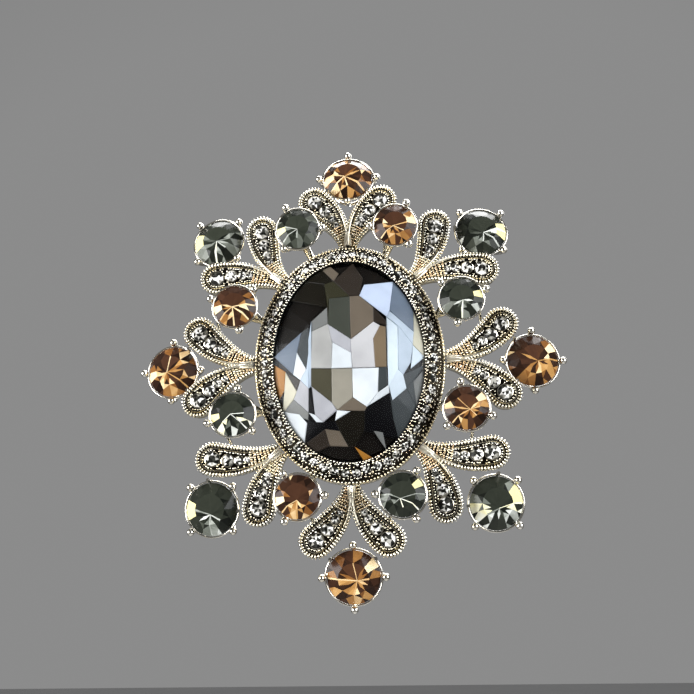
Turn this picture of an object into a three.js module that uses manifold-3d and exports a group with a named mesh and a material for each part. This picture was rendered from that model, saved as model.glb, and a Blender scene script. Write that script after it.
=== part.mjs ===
// Oval cluster brooch: a large faceted oval stone in a cup, a sloping pave halo round it,
// eight forked petal castings, sixteen round stones in claw baskets, and a hinged pin with
// a turning safety catch on the back.
//
// Millimetres. +Z is up as worn, -Y is the front. The origin is the centre of the back face
// of the pin bar's pad, where the brooch lies against the garment.

import * as THREE from 'three';
import { ConvexGeometry } from 'three/addons/geometries/ConvexGeometry.js';
import * as BufferGeometryUtils from 'three/addons/utils/BufferGeometryUtils.js';
import Module from 'manifold-3d';

const wasm = await Module();
wasm.setup();

// ---- driving dimensions -------------------------------------------------------------

const GAP = 0.15; // soldered neighbours stand this far apart
const DEGREE = Math.PI / 180;

// The face of the brooch hangs lower than the pin bar, so that it does not tip forward.
const PIN_RISE = 6;

// Centre stone: a 22 x 30 mm oval.
const OVAL_X = 11;
const OVAL_Z = 15;
const GIRDLE_Y = -9; // plane of the centre stone's widest outline
const GIRDLE_HALF = 0.15;
const CENTRE_CROWN = 2.9;
const CENTRE_PAVILION = 4.8;

// Cup and halo. Distances outward from the centre stone's outline.
const CUP_INNER = 0.15;
const CUP_OUTER = 0.6;
const CUP_LIP_Y = GIRDLE_Y - 0.5;
const CUP_FLOOR_Y = -2.1;
const CUP_BACK_Y = -1.35; // just in front of the pin bar
const CUP_OPENING = -5.5; // the back opening's edge, inward of the outline
const HALO_INNER = CUP_OUTER + GAP;
const HALO_OUTER = 3;
const HALO_INNER_Y = GIRDLE_Y - 0.35;
const HALO_OUTER_Y = GIRDLE_Y + 1.5;
const HALO_BACK_Y = GIRDLE_Y + 2.9;
const HALO_RIM = 0.45;
const HALO_STEP = 0.3; // how far the outer rim slopes
const HALO_SINK = 0.35; // how deep the stone channel lies between its rims
const OVAL_SEGMENTS = 40;

// Petals: a head of PETAL_HEAD radius on a stem that grows out of the halo's edge.
const PETAL_FRONT_Y = GIRDLE_Y + 1.3;
const PETAL_THICK = 1.8;
const PETAL_HEAD = 2.3;
const PETAL_STEM = 0.75;
const PETAL_SPREAD = 0.4; // half the distance between the two petals' roots
const PETAL_SWELL = 1.4; // how late the petal widens
const PETAL_SHOULDER = 0.7; // how far the centre line has parted at its bend
const PETAL_BEND = 0.55; // where it bends, as a share of the way out
const PETAL_RIM = 0.55;
const PETAL_SINK = 0.5;
const POCKET_START = 0.3; // where the stone pocket starts, as a share of the petal

// Head centres, from the middle of the face.
const HEAD_NORTH = [5.1, 25.7];
const HEAD_EAST = [22.4, 5.2];
const HEAD_CORNER_HIGH = [13.2, 21.2];
const HEAD_CORNER_WIDE = [20.1, 13.8];

// Round stones.
const OUTER_STONE = 3.8;
const INNER_STONE = 3.07;
const CROWN_SHARE = 0.32; // of the stone's radius
const PAVILION_SHARE = 0.9;
const STONE_SIDES = 16;

// Baskets.
const CLAW_BALL = 0.55;
const CLAW_OUT = 0.72; // ball centres, outward of the stone's edge
const CLAW_RISE = 0.3; // and in front of its girdle
const CLAW_WIRE = 0.32;
const COLLAR_GAP = 0.12;
const COLLAR_WIDE = 0.32;
const BASE_SHARE = 0.62; // base ring radius as a share of the stone's
const BASE_DEPTH = 3.3;
const BASE_SIDES = 8;
const STUB_WIRE = 0.28;

// Where the round stones sit: [across, up] from the middle of the face, with the girdle's
// depth and the outward lean. The other stones are mirror images.
const OUTER_Y = GIRDLE_Y + 4;
const INNER_Y = GIRDLE_Y - 2;
const TIP_NORTH = 30.6;
const TIP_EAST = 26.9;
const CORNER = [20.4, 20.7];
const INNER_HIGH = [7.25, 19.9];
const INNER_WIDE = [16.5, 8.06];
const LEAN_NORTH = 14 * DEGREE;
const LEAN_EAST = 9 * DEGREE;
const LEAN_CORNER = 10 * DEGREE;
const CLAW_TURN_HIGH = 62 * DEGREE;
const CLAW_TURN_WIDE = 19 * DEGREE;

// Pin bar and hinge.
const BAR_LONG = 26;
const BAR_WIDE = 5;
const BAR_THICK = 1.2;
const PAD_LONG = 13.2; // the raised middle of the bar, which the garment lies on
const PAD_RISE = 0.4;
const PIN_Y = 5.2; // the pin wire's axis, behind the bar
const HINGE_X = -10.6;
const FOOT_Y = GAP - PAD_RISE; // where the hinge's and catch's feet start
const FOOT_THICK = 0.7;
const FOOT_LONG = 4.4;
const EAR_THICK = 0.9;
const EAR_GAP = 2.3;
const EAR_RADIUS = 1.7;
const RIVET_RADIUS = 0.55;
const RIVET_HOLE = 0.62;
const RIVET_HEAD = 1.1;
const RIVET_HEAD_THICK = 0.45;
const RIVET_PLAY = 0.1; // between the ears and the rivet's heads
const KNUCKLE_RADIUS = 1.5;
const KNUCKLE_THICK = 2;
const PIN_RADIUS = 0.5;
const PIN_TIP_X = 12.4;
const PIN_TAPER = 2.6;

// Safety catch: a slotted barrel with a slotted sleeve that turns inside it.
const CATCH_X = 8.9;
const BARREL_LONG = 4;
const BARREL_OUTER = 2.35;
const BARREL_BORE = 1.63;
const BARREL_SLOT = 1.5;
const NECK_WIDE = 2.6;
const SLEEVE_OUTER = 1.55;
const SLEEVE_BORE = 0.78;
const SLEEVE_SLOT = 1.4;
const SLEEVE_COLLAR = 2.1;
const SLEEVE_COLLAR_LONG = 0.5;
const LEVER_LONG = 4.4;
const LEVER_WIDE = 1.7;
const LEVER_THICK = 1;
const LEVER_TURN = 60 * DEGREE;

// ---- materials ----------------------------------------------------------------------

const gold = new THREE.MeshStandardMaterial({ color: 0xd8c49a, roughness: 0.25, metalness: 1 });
const steel = new THREE.MeshStandardMaterial({ color: 0xc9c7c0, roughness: 0.3, metalness: 1 });
const smoky = new THREE.MeshStandardMaterial({ color: 0x6a7076, roughness: 0.05, metalness: 0.2 });
const grey = new THREE.MeshStandardMaterial({ color: 0x3f423c, roughness: 0.05, metalness: 0.2 });
const amber = new THREE.MeshStandardMaterial({ color: 0xb0702e, roughness: 0.05, metalness: 0.2 });

// ---- solid helpers ------------------------------------------------------------------

function solid(geometry) {
  const bare = geometry.clone();
  bare.deleteAttribute('normal');
  bare.deleteAttribute('uv');
  const merged = BufferGeometryUtils.mergeVertices(bare, 1e-4);
  return new wasm.Manifold(new wasm.Mesh({
    numProp: 3,
    vertProperties: new Float32Array(merged.attributes.position.array),
    triVerts: new Uint32Array(merged.index.array),
  }));
}

function shell(manifold) {
  const mesh = manifold.getMesh();
  const geometry = new THREE.BufferGeometry();
  geometry.setAttribute('position', new THREE.BufferAttribute(mesh.vertProperties, 3));
  geometry.setIndex(new THREE.BufferAttribute(mesh.triVerts, 1));
  geometry.computeVertexNormals();
  return geometry;
}

function join(geometries) {
  return shell(geometries.map(solid).reduce((whole, piece) => whole.add(piece)));
}

function cut(geometry, tools) {
  return shell(tools.map(solid).reduce((whole, tool) => whole.subtract(tool), solid(geometry)));
}

function rod(from, to, radius, sides = 5) {
  const start = new THREE.Vector3(...from);
  const along = new THREE.Vector3(...to).sub(start);
  const geometry = new THREE.CylinderGeometry(radius, radius, along.length(), sides);
  const turn = new THREE.Quaternion().setFromUnitVectors(
    new THREE.Vector3(0, 1, 0), along.clone().normalize());
  geometry.applyQuaternion(turn);
  return geometry.translate(...start.addScaledVector(along, 0.5).toArray());
}

function block(low, high) {
  const size = high.map((value, i) => value - low[i]);
  const middle = high.map((value, i) => (value + low[i]) / 2);
  return new THREE.BoxGeometry(...size).translate(...middle);
}

// A closed profile of [radius, y] points turned about the Y axis. The profile starts at the
// inside front corner and runs backwards along the inside first.
function ring(profile, segments) {
  const points = [...profile, profile[0]].reverse().map(([radius, y]) => new THREE.Vector2(radius, y));
  return new THREE.LatheGeometry(points, segments);
}

// A closed profile of [distance outside the centre stone's outline, y] swept round the oval.
function ovalRing(profile) {
  const geometry = ring(profile.map(([out, y]) => [OVAL_Z + out, y]), OVAL_SEGMENTS);
  const position = geometry.attributes.position;
  for (let i = 0; i < position.count; i += 1) {
    const x = position.getX(i);
    const radius = Math.hypot(x, position.getZ(i));
    position.setX(i, x * (radius - OVAL_Z + OVAL_X) / radius);
  }
  return geometry;
}

// A flat outline in the face's [across, up] directions, from its back plane forwards.
function plate(shape, backY, thick) {
  return new THREE.ExtrudeGeometry(shape, { depth: thick, bevelEnabled: false, curveSegments: 5 })
    .rotateX(Math.PI / 2)
    .translate(0, backY, 0);
}

const root = new THREE.Group();
const face = new THREE.Group();
face.position.z = -PIN_RISE;
root.add(face);

function add(parent, name, geometry, material) {
  const mesh = new THREE.Mesh(geometry, material);
  mesh.name = name;
  parent.add(mesh);
  return mesh;
}

// ---- centre stone, cup and halo -----------------------------------------------------

function ovalTier(share, y, count, turn = 0) {
  return Array.from({ length: count }, (_, i) => {
    const angle = ((i + turn) / count) * 2 * Math.PI;
    return new THREE.Vector3(OVAL_X * share * Math.cos(angle), y, OVAL_Z * share * Math.sin(angle));
  });
}

function centreStone() {
  const keel = [-0.36, 0, 0.36].map((share) => (
    new THREE.Vector3(0, GIRDLE_Y + CENTRE_PAVILION, OVAL_Z * share)));
  return new ConvexGeometry([
    ...ovalTier(0.56, GIRDLE_Y - CENTRE_CROWN, 8, 0.5),
    ...ovalTier(0.82, GIRDLE_Y - CENTRE_CROWN * 0.6, 8),
    ...ovalTier(1, GIRDLE_Y - GIRDLE_HALF, 24),
    ...ovalTier(1, GIRDLE_Y + GIRDLE_HALF, 24),
    ...ovalTier(0.6, GIRDLE_Y + CENTRE_PAVILION * 0.55, 8, 0.5),
    ...keel,
  ]);
}

function centreCup() {
  return ovalRing([
    [CUP_INNER, CUP_LIP_Y],
    [CUP_INNER, CUP_FLOOR_Y],
    [CUP_OPENING, CUP_FLOOR_Y],
    [CUP_OPENING, CUP_BACK_Y],
    [CUP_OUTER, CUP_BACK_Y],
    [CUP_OUTER, CUP_LIP_Y],
  ]);
}

function haloRing() {
  return ovalRing([
    [HALO_INNER, HALO_INNER_Y],
    [HALO_INNER, HALO_BACK_Y],
    [HALO_OUTER, HALO_BACK_Y],
    [HALO_OUTER, HALO_OUTER_Y],
    [HALO_OUTER - HALO_RIM, HALO_OUTER_Y - HALO_STEP],
    [HALO_OUTER - HALO_RIM, HALO_OUTER_Y - HALO_STEP + HALO_SINK],
    [HALO_INNER + HALO_RIM, HALO_INNER_Y + HALO_SINK],
    [HALO_INNER + HALO_RIM, HALO_INNER_Y],
  ]);
}

add(face, 'centre_stone', centreStone(), smoky);
add(face, 'centre_cup', centreCup(), gold);
add(face, 'halo_ring', haloRing(), gold);

// ---- petals -------------------------------------------------------------------------

const PETAL_STEPS = 6;

// One petal's outline: its width grows along a curved centre line and ends in a round head.
function petalOutline(line, inset, from) {
  const left = [];
  const right = [];
  for (let i = 0; i <= PETAL_STEPS; i += 1) {
    const t = from + (1 - from) * (i / PETAL_STEPS);
    const swell = Math.sin(t * Math.PI / 2) ** PETAL_SWELL;
    const half = PETAL_STEM + (PETAL_HEAD - PETAL_STEM) * swell - inset;
    const point = line.getPoint(t);
    const along = line.getTangent(t);
    left.push([point.x - along.y * half, point.y + along.x * half]);
    right.push([point.x + along.y * half, point.y - along.x * half]);
  }
  const head = line.getPoint(1);
  const along = line.getTangent(1);
  const facing = Math.atan2(along.y, along.x);
  const shape = new THREE.Shape();
  shape.moveTo(...right[0]);
  right.slice(1).forEach((point) => shape.lineTo(...point));
  shape.absarc(head.x, head.y, PETAL_HEAD - inset, facing - Math.PI / 2, facing + Math.PI / 2);
  left.reverse().slice(1).forEach((point) => shape.lineTo(...point));
  shape.closePath();
  return shape;
}

// A forked casting: two petals that leave the halo's edge side by side, at the angle `turn`
// round the oval, and part towards their two head centres.
function petalPair(turn, heads) {
  const edge = new THREE.Vector2(
    (OVAL_X + HALO_OUTER) * Math.cos(turn), (OVAL_Z + HALO_OUTER) * Math.sin(turn));
  const out = new THREE.Vector2(
    Math.cos(turn) / (OVAL_X + HALO_OUTER), Math.sin(turn) / (OVAL_Z + HALO_OUTER)).normalize();
  const side = new THREE.Vector2(-out.y, out.x);
  const lines = heads.map(([x, z], i) => {
    const head = new THREE.Vector2(x, z);
    const hand = i === 0 ? 1 : -1;
    const start = edge.clone().addScaledVector(out, GAP).addScaledVector(side, hand * PETAL_SPREAD);
    const reach = head.clone().sub(start).dot(out) * PETAL_BEND;
    const bend = start.clone().addScaledVector(out, reach).addScaledVector(side, hand * PETAL_SHOULDER);
    return new THREE.QuadraticBezierCurve(start, bend, head);
  });
  const backY = PETAL_FRONT_Y + PETAL_THICK;
  const bodies = lines.map((line) => plate(petalOutline(line, 0, 0), backY, PETAL_THICK));
  const pockets = lines.map((line) => (
    plate(petalOutline(line, PETAL_RIM, POCKET_START), PETAL_FRONT_Y + PETAL_SINK, 2 * PETAL_SINK)));
  return cut(join(bodies), pockets);
}

function mirrored([x, z], signX, signZ) {
  return [x * signX, z * signZ];
}

[['n', 1], ['s', -1]].forEach(([name, sign]) => {
  const heads = [mirrored(HEAD_NORTH, -sign, sign), mirrored(HEAD_NORTH, sign, sign)];
  add(face, `petals_${name}`, petalPair(sign * Math.PI / 2, heads), gold);
});

[['e', 1], ['w', -1]].forEach(([name, sign]) => {
  const heads = [mirrored(HEAD_EAST, sign, sign), mirrored(HEAD_EAST, sign, -sign)];
  add(face, `petals_${name}`, petalPair(sign > 0 ? 0 : Math.PI, heads), gold);
});

[['ne', 1, 1], ['nw', -1, 1], ['sw', -1, -1], ['se', 1, -1]].forEach(([name, signX, signZ]) => {
  const high = mirrored(HEAD_CORNER_HIGH, signX, signZ);
  const wide = mirrored(HEAD_CORNER_WIDE, signX, signZ);
  const turn = Math.atan2(signZ, signX);
  add(face, `petals_${name}`, petalPair(turn, signX * signZ > 0 ? [high, wide] : [wide, high]), gold);
});

// ---- round stones and their baskets -------------------------------------------------

// Each stone and basket is made with its front towards -Y and its girdle plane at y = 0.

function tier(radius, y, count, turn = 0) {
  return Array.from({ length: count }, (_, i) => {
    const angle = ((i + turn) / count) * 2 * Math.PI;
    return new THREE.Vector3(radius * Math.sin(angle), y, radius * Math.cos(angle));
  });
}

function roundStone(radius) {
  const crown = CROWN_SHARE * radius;
  const pavilion = PAVILION_SHARE * radius;
  return new ConvexGeometry([
    ...tier(radius * 0.56, -crown, 8),
    ...tier(radius * 0.8, -crown * 0.62, 8, 0.5),
    ...tier(radius, -0.1, STONE_SIDES),
    ...tier(radius, 0.1, STONE_SIDES),
    new THREE.Vector3(0, pavilion, 0),
  ]);
}

function band(radius, wide, frontY, backY, segments) {
  return ring([
    [radius, frontY],
    [radius, backY],
    [radius + wide, backY],
    [radius + wide, frontY],
  ], segments);
}

// stubs: [angle, radius and y where the wire ends] of the wires that tie the basket to its neighbours
function basket(radius, claws, stubs) {
  const collar = radius + COLLAR_GAP;
  const base = radius * BASE_SHARE;
  const pieces = [
    band(collar, COLLAR_WIDE, -0.2, 0.35, STONE_SIDES),
    band(base - 0.25, 0.5, BASE_DEPTH - 0.25, BASE_DEPTH + 0.25, BASE_SIDES),
  ];
  claws.forEach((angle) => {
    const at = (distance, y) => [distance * Math.cos(angle), y, distance * Math.sin(angle)];
    const tip = at(radius + CLAW_OUT, -CLAW_RISE);
    pieces.push(new THREE.SphereGeometry(CLAW_BALL, 6, 3).translate(...tip));
    pieces.push(rod(tip, at(base, BASE_DEPTH), CLAW_WIRE));
  });
  stubs.forEach(([angle, reach, y]) => {
    const at = (distance, level) => [distance * Math.cos(angle), level, distance * Math.sin(angle)];
    pieces.push(rod(at(collar + COLLAR_WIDE / 2, 0.1), at(reach, y), STUB_WIRE));
  });
  return join(pieces);
}

// Places a stone and its basket: `turn` aims the first claw, `lean` tips the front that way.
function setStone(name, [x, z], y, turn, lean, radius, material, claws, stubs) {
  const place = new THREE.Group();
  place.position.set(x, y, z);
  place.rotation.y = -turn;
  const tipped = new THREE.Group();
  tipped.rotation.z = lean;
  place.add(tipped);
  face.add(place);
  add(tipped, `stone_${name}`, roundStone(radius), material);
  add(tipped, `setting_${name}`, basket(radius, claws, stubs), gold);
}

const FOUR_CLAWS = [0, 90, 180, 270].map((angle) => angle * DEGREE);
const THREE_CLAWS = [0, 120, 240].map((angle) => angle * DEGREE);

// The outer baskets tie to the two nearest petal heads, the inner ones to the halo's rim
// and to a petal on each side.
const OUTER_STUBS = [131, 229].map((angle) => [angle * DEGREE, OUTER_STONE + 0.45, -1.1]);
const INNER_STUBS = [60, 180, 300].map((angle) => (
  [angle * DEGREE, INNER_STONE + 0.62, PETAL_FRONT_Y - INNER_Y - 0.35]));

function setOuter(name, place, turn, lean, material) {
  setStone(name, place, OUTER_Y, turn, lean, OUTER_STONE, material, FOUR_CLAWS, OUTER_STUBS);
}

function setInner(name, place, turn, material) {
  setStone(name, place, INNER_Y, turn, 0, INNER_STONE, material, THREE_CLAWS, INNER_STUBS);
}

setOuter('n', [0, TIP_NORTH], Math.PI / 2, LEAN_NORTH, amber);
setOuter('s', [0, -TIP_NORTH], -Math.PI / 2, LEAN_NORTH, amber);
setOuter('e', [TIP_EAST, 0], 0, LEAN_EAST, amber);
setOuter('w', [-TIP_EAST, 0], Math.PI, LEAN_EAST, amber);
[['ne', 1, 1], ['nw', -1, 1], ['sw', -1, -1], ['se', 1, -1]].forEach(([name, signX, signZ]) => {
  setOuter(name, mirrored(CORNER, signX, signZ), Math.atan2(signZ, signX), LEAN_CORNER, grey);
});

// Amber and grey alternate round the inner circle too.
[['ne', 1, 1], ['nw', -1, 1], ['sw', -1, -1], ['se', 1, -1]].forEach(([name, signX, signZ]) => {
  const across = signX > 0 ? 0 : Math.PI;
  const hand = signX * signZ;
  const high = hand > 0 ? amber : grey;
  const wide = hand > 0 ? grey : amber;
  setInner(`${name}_high`, mirrored(INNER_HIGH, signX, signZ), across + hand * CLAW_TURN_HIGH, high);
  setInner(`${name}_wide`, mirrored(INNER_WIDE, signX, signZ), across + hand * CLAW_TURN_WIDE, wide);
});

// ---- pin bar, hinge and pin ---------------------------------------------------------

// The bar has a raised pad between the feet of the hinge and the catch.
function barPlate() {
  const shape = new THREE.Shape();
  const end = BAR_WIDE / 2;
  const run = BAR_LONG / 2 - end;
  shape.absarc(run, 0, end, -Math.PI / 2, Math.PI / 2);
  shape.absarc(-run, 0, end, Math.PI / 2, 1.5 * Math.PI);
  return join([
    plate(shape, -PAD_RISE, BAR_THICK - PAD_RISE),
    block([-PAD_LONG / 2, PAD_RISE - BAR_THICK, -end], [PAD_LONG / 2, 0, end]),
  ]);
}

// An ear of the hinge bracket, lying across Z between two levels.
function ear(lowZ) {
  const shape = new THREE.Shape();
  shape.moveTo(-EAR_RADIUS, FOOT_Y);
  shape.lineTo(EAR_RADIUS, FOOT_Y);
  shape.absarc(0, PIN_Y, EAR_RADIUS, 0, Math.PI);
  shape.closePath();
  shape.holes.push(new THREE.Path().absarc(0, PIN_Y, RIVET_HOLE, 0, 2 * Math.PI));
  return new THREE.ExtrudeGeometry(shape, { depth: EAR_THICK, bevelEnabled: false, curveSegments: 8 })
    .translate(HINGE_X, 0, lowZ);
}

// A foot that sits on the bar, centred at x.
function foot(x) {
  return block(
    [x - FOOT_LONG / 2, FOOT_Y, -BAR_WIDE / 2],
    [x + FOOT_LONG / 2, FOOT_Y + FOOT_THICK, BAR_WIDE / 2]);
}

function hingeBracket() {
  return join([
    foot(HINGE_X),
    ear(EAR_GAP / 2),
    ear(-EAR_GAP / 2 - EAR_THICK),
  ]);
}

function hingeRivet() {
  const end = EAR_GAP / 2 + EAR_THICK + RIVET_PLAY;
  const inside = end + RIVET_HEAD_THICK / 2;
  const at = (z) => [HINGE_X, PIN_Y, z];
  return join([
    rod(at(-inside), at(inside), RIVET_RADIUS, 16),
    rod(at(end), at(end + RIVET_HEAD_THICK), RIVET_HEAD, 16),
    rod(at(-end), at(-end - RIVET_HEAD_THICK), RIVET_HEAD, 16),
  ]);
}

// The pin: a drilled knuckle on the rivet, a wire across the back and a ground point.
function pinNeedle() {
  const at = (x, z = 0) => [x, PIN_Y, z];
  const half = KNUCKLE_THICK / 2;
  const knuckle = rod(at(HINGE_X, -half), at(HINGE_X, half), KNUCKLE_RADIUS, 24);
  const taper = PIN_TIP_X - PIN_TAPER;
  const point = new THREE.ConeGeometry(PIN_RADIUS, PIN_TAPER, 10)
    .rotateZ(-Math.PI / 2)
    .translate(taper + PIN_TAPER / 2, PIN_Y, 0);
  const wire = rod(at(HINGE_X + KNUCKLE_RADIUS * 0.7), at(taper + 0.01), PIN_RADIUS, 10);
  const hole = rod(at(HINGE_X, -KNUCKLE_THICK), at(HINGE_X, KNUCKLE_THICK), RIVET_HOLE, 16);
  return cut(join([knuckle, wire, point]), [hole]);
}

add(root, 'bar_plate', barPlate(), gold);
add(root, 'hinge_bracket', hingeBracket(), steel);
add(root, 'hinge_rivet', hingeRivet(), steel);
add(root, 'pin_needle', pinNeedle(), steel);

// ---- safety catch -------------------------------------------------------------------

// A round bar along X, centred on the pin wire.
function alongX(from, to, radius, sides) {
  return rod([from, PIN_Y, 0], [to, PIN_Y, 0], radius, sides);
}

const BARREL_START = CATCH_X - BARREL_LONG / 2;
const BARREL_END = CATCH_X + BARREL_LONG / 2;

function catchBarrel() {
  const body = join([
    alongX(BARREL_START, BARREL_END, BARREL_OUTER, 24),
    block([BARREL_START, FOOT_Y, -NECK_WIDE / 2], [BARREL_END, PIN_Y, NECK_WIDE / 2]),
    foot(CATCH_X),
  ]);
  return cut(body, [
    alongX(BARREL_START - 1, BARREL_END + 1, BARREL_BORE, 24),
    block([BARREL_START - 1, PIN_Y, -BARREL_SLOT / 2], [BARREL_END + 1, PIN_Y + 4, BARREL_SLOT / 2]),
  ]);
}

// The sleeve turns in the barrel. Its collars keep it there, and its lever turns it.
function catchSleeve() {
  const start = BARREL_START - GAP - SLEEVE_COLLAR_LONG;
  const end = BARREL_END + GAP + LEVER_THICK;
  const lever = block(
    [end - LEVER_THICK, SLEEVE_BORE + 0.3, -LEVER_WIDE / 2], [end, LEVER_LONG, LEVER_WIDE / 2])
    .rotateX(LEVER_TURN)
    .translate(0, PIN_Y, 0);
  const body = join([
    alongX(start, end, SLEEVE_OUTER, 24),
    alongX(start, start + SLEEVE_COLLAR_LONG, SLEEVE_COLLAR, 24),
    alongX(end - LEVER_THICK, end, SLEEVE_COLLAR, 24),
    lever,
  ]);
  return cut(body, [
    alongX(start - 1, end + 1, SLEEVE_BORE, 16),
    block([start - 1, PIN_Y, -SLEEVE_SLOT / 2], [end + 1, PIN_Y + 4, SLEEVE_SLOT / 2]),
  ]);
}

add(root, 'catch_barrel', catchBarrel(), steel);
add(root, 'catch_sleeve', catchSleeve(), steel);

export default root;
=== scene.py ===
"""Looks of the oval cluster brooch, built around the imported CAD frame.

Blender places are in metres. Shapes are drawn in millimetres and scaled when their mesh is
made. +Z is up as worn and -Y is the front.
"""

import math
import random

import bmesh
import bpy
from mathutils import Matrix, Vector

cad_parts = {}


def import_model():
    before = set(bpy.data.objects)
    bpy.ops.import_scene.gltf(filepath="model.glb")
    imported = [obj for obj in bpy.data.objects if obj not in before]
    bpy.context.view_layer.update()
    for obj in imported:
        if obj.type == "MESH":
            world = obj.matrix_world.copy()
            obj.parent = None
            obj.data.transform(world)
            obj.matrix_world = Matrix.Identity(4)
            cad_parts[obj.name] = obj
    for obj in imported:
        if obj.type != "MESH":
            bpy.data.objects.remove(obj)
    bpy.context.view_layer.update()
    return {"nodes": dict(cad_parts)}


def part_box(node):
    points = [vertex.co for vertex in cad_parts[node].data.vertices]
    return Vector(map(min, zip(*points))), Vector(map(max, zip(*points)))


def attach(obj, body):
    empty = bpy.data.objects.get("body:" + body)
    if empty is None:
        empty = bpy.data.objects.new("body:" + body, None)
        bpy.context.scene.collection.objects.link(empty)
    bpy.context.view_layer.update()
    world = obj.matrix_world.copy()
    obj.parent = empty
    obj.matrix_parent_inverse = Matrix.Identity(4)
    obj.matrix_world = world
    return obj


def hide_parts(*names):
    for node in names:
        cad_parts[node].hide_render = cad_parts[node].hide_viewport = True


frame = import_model()

MM = 0.001
X = Vector((1, 0, 0))
Y = Vector((0, 1, 0))
Z = Vector((0, 0, 1))
CORNERS = [("ne", 1, 1), ("nw", -1, 1), ("sw", -1, -1), ("se", 1, -1)]

# ---- sizes shared with the CAD, in millimetres ---------------------------------------

stone_low, stone_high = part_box("centre_stone")
halo_low, halo_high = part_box("halo_ring")
FACE_X = (stone_low.x + stone_high.x) / 2 / MM  # the middle of the face
FACE_Z = (stone_low.z + stone_high.z) / 2 / MM
OVAL_X = (stone_high.x - stone_low.x) / 2 / MM
OVAL_Z = (stone_high.z - stone_low.z) / 2 / MM
CENTRE_CROWN = 2.9
CENTRE_PAVILION = 4.8
TABLE_Y = stone_low.y / MM
GIRDLE_Y = TABLE_Y + CENTRE_CROWN

GAP = 0.15
CUP_INNER = 0.15
CUP_OUTER = 0.6
CUP_LIP_Y = GIRDLE_Y - 0.5
CUP_FLOOR_Y = -2.1
CUP_BACK_Y = -1.35
CUP_OPENING = -5.5
CUP_ROUND = 0.3
CUP_LIP_SINK = 0.65
HALO_INNER = CUP_OUTER + GAP
HALO_OUTER = (halo_high.x - halo_low.x) / 2 / MM - OVAL_X
HALO_INNER_Y = GIRDLE_Y - 0.35
HALO_OUTER_Y = GIRDLE_Y + 1.5
HALO_BACK_Y = halo_high.y / MM

PETAL_FRONT_Y = GIRDLE_Y + 1.3
PETAL_BACK_Y = PETAL_FRONT_Y + 1.8
PETAL_HEAD = 2.3
PETAL_STEM = 0.75
PETAL_SPREAD = 0.4
PETAL_SWELL = 1.4
PETAL_SHOULDER = 0.7
PETAL_BEND = 0.55
HEAD_NORTH = (5.1, 25.7)
HEAD_EAST = (22.4, 5.2)
HEAD_CORNER_HIGH = (13.2, 21.2)
HEAD_CORNER_WIDE = (20.1, 13.8)

# Round stones, as shares of their radius, of their crown or of the tones from 0 to 1. The tones are painted
# reflections, flashes and highlights over the stone's own tint.
WEDGES = 16
CROWN_SHARE = 0.32
PAVILION_SHARE = 0.9
TABLE_SHARE = 0.58
STAR_SHARE = 0.79
STAR_RISE = 0.6
CULET_ASIDE = 0.14
CULET_DOWN = (0.02, 0.2)
ROOM_TONES = (0.24, 0.34)
DARK_TONES = (0.02, 0.3)
WEDGE_TONES = (0.58, 0.92)
TABLE_TONES = (0.5, 0.85)
CROWN_TONES = (0.45, 0.85)
FLASH_TONES = (0.95, 1)
CROWN_DARK_TONES = (0, 0.25)
BACK_TONES = (0, 0.6)
ROOM_JITTER = 0.03
WEDGE_JITTER = 0.04
UPWARD_GLOOM = 0.2  # how much gloomier the top of a stone is painted, as painted reflection of the dark room
# Tones of the thin painted highlight lines.
LINE_TONES = (0.76, 0.9)
LINE_CHANCE = (0.08, 0.6)  # on the upper and on the lower half
LONG_LINE_CHANCE = 0.6
LINE_REACH = 0.92
LINE_START = 0.012  # the half widths of a line, as shares of the radius
LINE_WIDE = (0.015, 0.05)
LINE_END = 0.035
SLIVER_RISE = 0.015
SLIVER_DEPTH = 0.1
GIRDLE_HALF = 0.1  # half the thickness of a stone's edge
CLAW_TURN_HIGH = math.radians(62)
CLAW_TURN_WIDE = math.radians(19)

# ---- mesh helpers --------------------------------------------------------------------


class Shape:
    """Points and faces gathered for one mesh. Each face has a material number and a tone."""

    def __init__(self):
        self.points = []
        self.faces = []
        self.slots = []
        self.tones = []

    def add(self, points, faces, slot=0, tone=0.5):
        first = len(self.points)
        self.points.extend(points)
        for i, face in enumerate(faces):
            self.faces.append([first + corner for corner in face])
            self.slots.append(slot[i] if isinstance(slot, list) else slot)
            self.tones.append(tone[i] if isinstance(tone, list) else tone)


def make_mesh(name, shape, materials, sharp=None):
    """A mesh from a shape. With `sharp` its edges under that many degrees are smooth."""
    mesh = bpy.data.meshes.new(name)
    mesh.from_pydata([Vector(point) * MM for point in shape.points], [], shape.faces)
    for material in materials:
        mesh.materials.append(material)
    mesh.polygons.foreach_set("material_index", shape.slots)
    tones = mesh.attributes.new("tone", "FLOAT", "FACE")
    tones.data.foreach_set("value", shape.tones)
    work = bmesh.new()
    work.from_mesh(mesh)
    bmesh.ops.recalc_face_normals(work, faces=work.faces)
    work.to_mesh(mesh)
    work.free()
    if sharp is not None:
        mesh.shade_smooth()
        mesh.set_sharp_from_angle(angle=math.radians(sharp))
    return mesh


def put(name, mesh, body="brooch", place=None, stands_for=()):
    """Shows a mesh as a named piece that rides on a body."""
    piece = bpy.data.objects.new(name, mesh)
    bpy.context.scene.collection.objects.link(piece)
    piece.matrix_world = face_place if place is None else place
    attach(piece, body)
    if stands_for:
        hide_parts(*stands_for)
    return piece


face_place = Matrix.Translation((FACE_X * MM, 0, FACE_Z * MM))


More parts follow.
